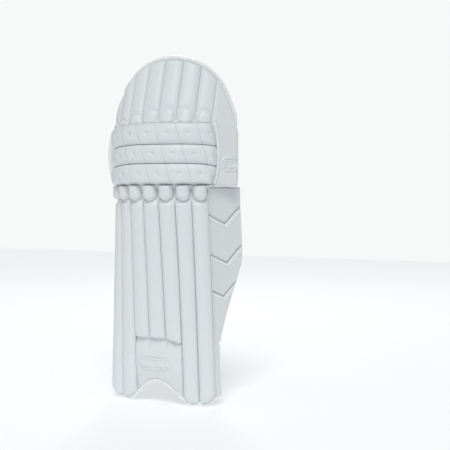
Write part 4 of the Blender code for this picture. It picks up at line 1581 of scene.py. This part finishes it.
def strap(name, level, bow_back, end, lands_on, tab, web):
    low, high = level
    route, body = strap_route(name, level, bow_back), f"{name}_fastening"
    face = 4.4 + STRAP  # the strap's outer face, from its route
    piece = band(f"{name}_strap_web", web, route, 0.012, end, level, face, STRAP)
    belongs(piece, body, "strap_web", f"{name}_strap")
    piece = band(f"{name}_landing_web", web, route, end - 0.24, 1.0, (low + 1, high - 1), 1.8, 1.8)
    belongs(piece, lands_on, "strap_web", f"{name}_landing")
    rows = [((t, low + 3), (t, high - 3)) for t in (end - 0.012, end - 0.022, 0.03, 0.06)]
    strap_stitches(f"{name}_strap_stitches", route, body, rows, face + 0.2)
    rows = [((end - 0.2, z), (0.985, z)) for z in (low + 4, high - 4)]
    strap_stitches(f"{name}_landing_stitches", route, lands_on, rows, 2.0)
    if tab:
        piece = round_tab(f"{name}_pull_tab", route, end - 0.02, level, face + 0.9, *tab)
        belongs(piece, body, "tab_rubber", f"{name}_tab")
    else:
        piece = end_panel(route, end - 0.34, end + 0.035, level, face + 0.1)
        belongs(piece, body, "strap_web", f"{name}_tab")


# ---- studio

CAMERA = Vector((0.8245, -1.5360, 0.418))
AIM = Vector((0.1175, -0.0020, 0.362))
SUN_FROM = Vector((0.52, -1.2, 1.62))


def put(name, data, place, turn):
    made = bpy.data.objects.new(name, data)
    made.location = place
    made.rotation_euler = turn.to_euler()
    bpy.context.scene.collection.objects.link(made)
    return made


def light(name, place, size, power, colour=(1, 1, 1)):
    """A round light that faces the pad's middle."""
    data = bpy.data.lights.new(name, "AREA")
    data.shape = "DISK"
    data.size = size
    data.energy = power
    data.color = colour
    put(name, data, place, (Vector((0, 0, 0.35)) - Vector(place)).to_track_quat("-Z", "Y"))


def studio():
    data = bpy.data.cameras.new("camera")
    data.angle = math.radians(30.0)
    bpy.context.scene.camera = put("camera", data, CAMERA, (AIM - CAMERA).to_track_quat("-Z", "Y"))
    key = bpy.data.lights.new("key", "SUN")
    key.energy = 1.56
    key.angle = math.radians(24)
    put("key", key, (0, 0, 0), SUN_FROM.to_track_quat("Z", "Y"))
    light("fill", (-1.7, -1.3, 1.0), 0.9, 1.8, (1.0, 0.96, 1.0))
    light("rear", (-0.7, 1.7, 2.1), 0.7, 11)
    pale_world()
    bpy.context.scene.view_settings.view_transform = "Standard"
    bpy.ops.mesh.primitive_plane_add(size=8, location=(0, 0, -0.002))
    floor = bpy.context.active_object
    floor.name = "floor"
    floor.data.materials.append(floor_look())


def pale_world():
    """Even pale light all round, in front of a white background."""
    world = bpy.data.worlds.new("studio")
    world.use_nodes = True
    tree = world.node_tree
    ambient = tree.nodes["Background"]
    seen = tree.nodes.new("ShaderNodeBackground")
    for node, colour, strength in ((ambient, (0.95, 0.98, 1.0, 1), 0.33), (seen, (0.93, 0.94, 0.94, 1), 1.0)):
        node.inputs["Color"].default_value = colour
        node.inputs["Strength"].default_value = strength
    choice = tree.nodes.new("ShaderNodeMixShader")
    from_camera = tree.nodes.new("ShaderNodeLightPath").outputs["Is Camera Ray"]
    for number, output in enumerate((from_camera, ambient.outputs[0], seen.outputs[0])):
        tree.links.new(output, choice.inputs[number])
    tree.links.new(choice.outputs[0], tree.nodes["World Output"].inputs["Surface"])
    bpy.context.scene.world = world


# ---- everything together

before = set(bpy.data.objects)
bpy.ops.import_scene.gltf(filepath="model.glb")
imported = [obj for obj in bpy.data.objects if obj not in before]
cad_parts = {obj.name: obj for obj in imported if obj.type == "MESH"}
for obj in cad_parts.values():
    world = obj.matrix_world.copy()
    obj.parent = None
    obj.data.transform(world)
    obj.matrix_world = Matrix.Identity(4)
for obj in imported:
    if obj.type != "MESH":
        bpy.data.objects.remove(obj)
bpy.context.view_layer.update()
LEATHER = leather_look()
PIPING = piping_look()
LINING = lining_look("lining", (0.70, 0.75, 0.74))
LILAC = lining_look("lilac_lining", (0.83, 0.83, 0.89))
POCKET = lining_look("pocket_nylon", (0.82, 0.85, 0.84))
QUILT = quilt_look()
SATIN = satin_look()
TOWELLING = towelling_look()
WEB = webbing_look("strap_web_cream", (0.74, 0.76, 0.70), (0.66, 0.69, 0.64))
GREY_WEB = webbing_look("strap_web_grey", (0.72, 0.76, 0.76), (0.62, 0.67, 0.67))
COATED = embossed_look()
RUBBER = rubber_look()
THREAD = thread_look()
HOOK = hook_look()
BOARD = board_look()
for node_name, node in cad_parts.items():
    for place in node.material_slots:
        place.material = HOOK if "hook_tape" in node_name else BOARD

studio()
shin_front()
side_walls()
sole_binding()
for roll_number, (roll_bottom, roll_top) in enumerate(zip(ROLL_EDGES, ROLL_EDGES[1:])):
    knee_roll(f"knee_roll_{3 - roll_number}", roll_bottom, roll_top)
roll_border()
outer_knee_panel()
inner_knee_panel()
top_front()
top_rim()
creases()
wing_front()
wing_back()
wing_trim()
shin_lining()
for pad_name, pad_low, pad_high in EDGE_PADS:
    edge_pad(pad_name, pad_low, pad_high)
for bolster_name, bolster_middle in BOLSTERS:
    bolster(bolster_name, bolster_middle)
shin_cushion()
knee_lining()
outer_knee_lining()
inner_knee_lining()
knee_pocket()
knee_pad()
knee_flap()
top_liner()
for strap_name, facts in STRAPS.items():
    strap(strap_name, web=GREY_WEB if strap_name == "ankle" else WEB, **facts)
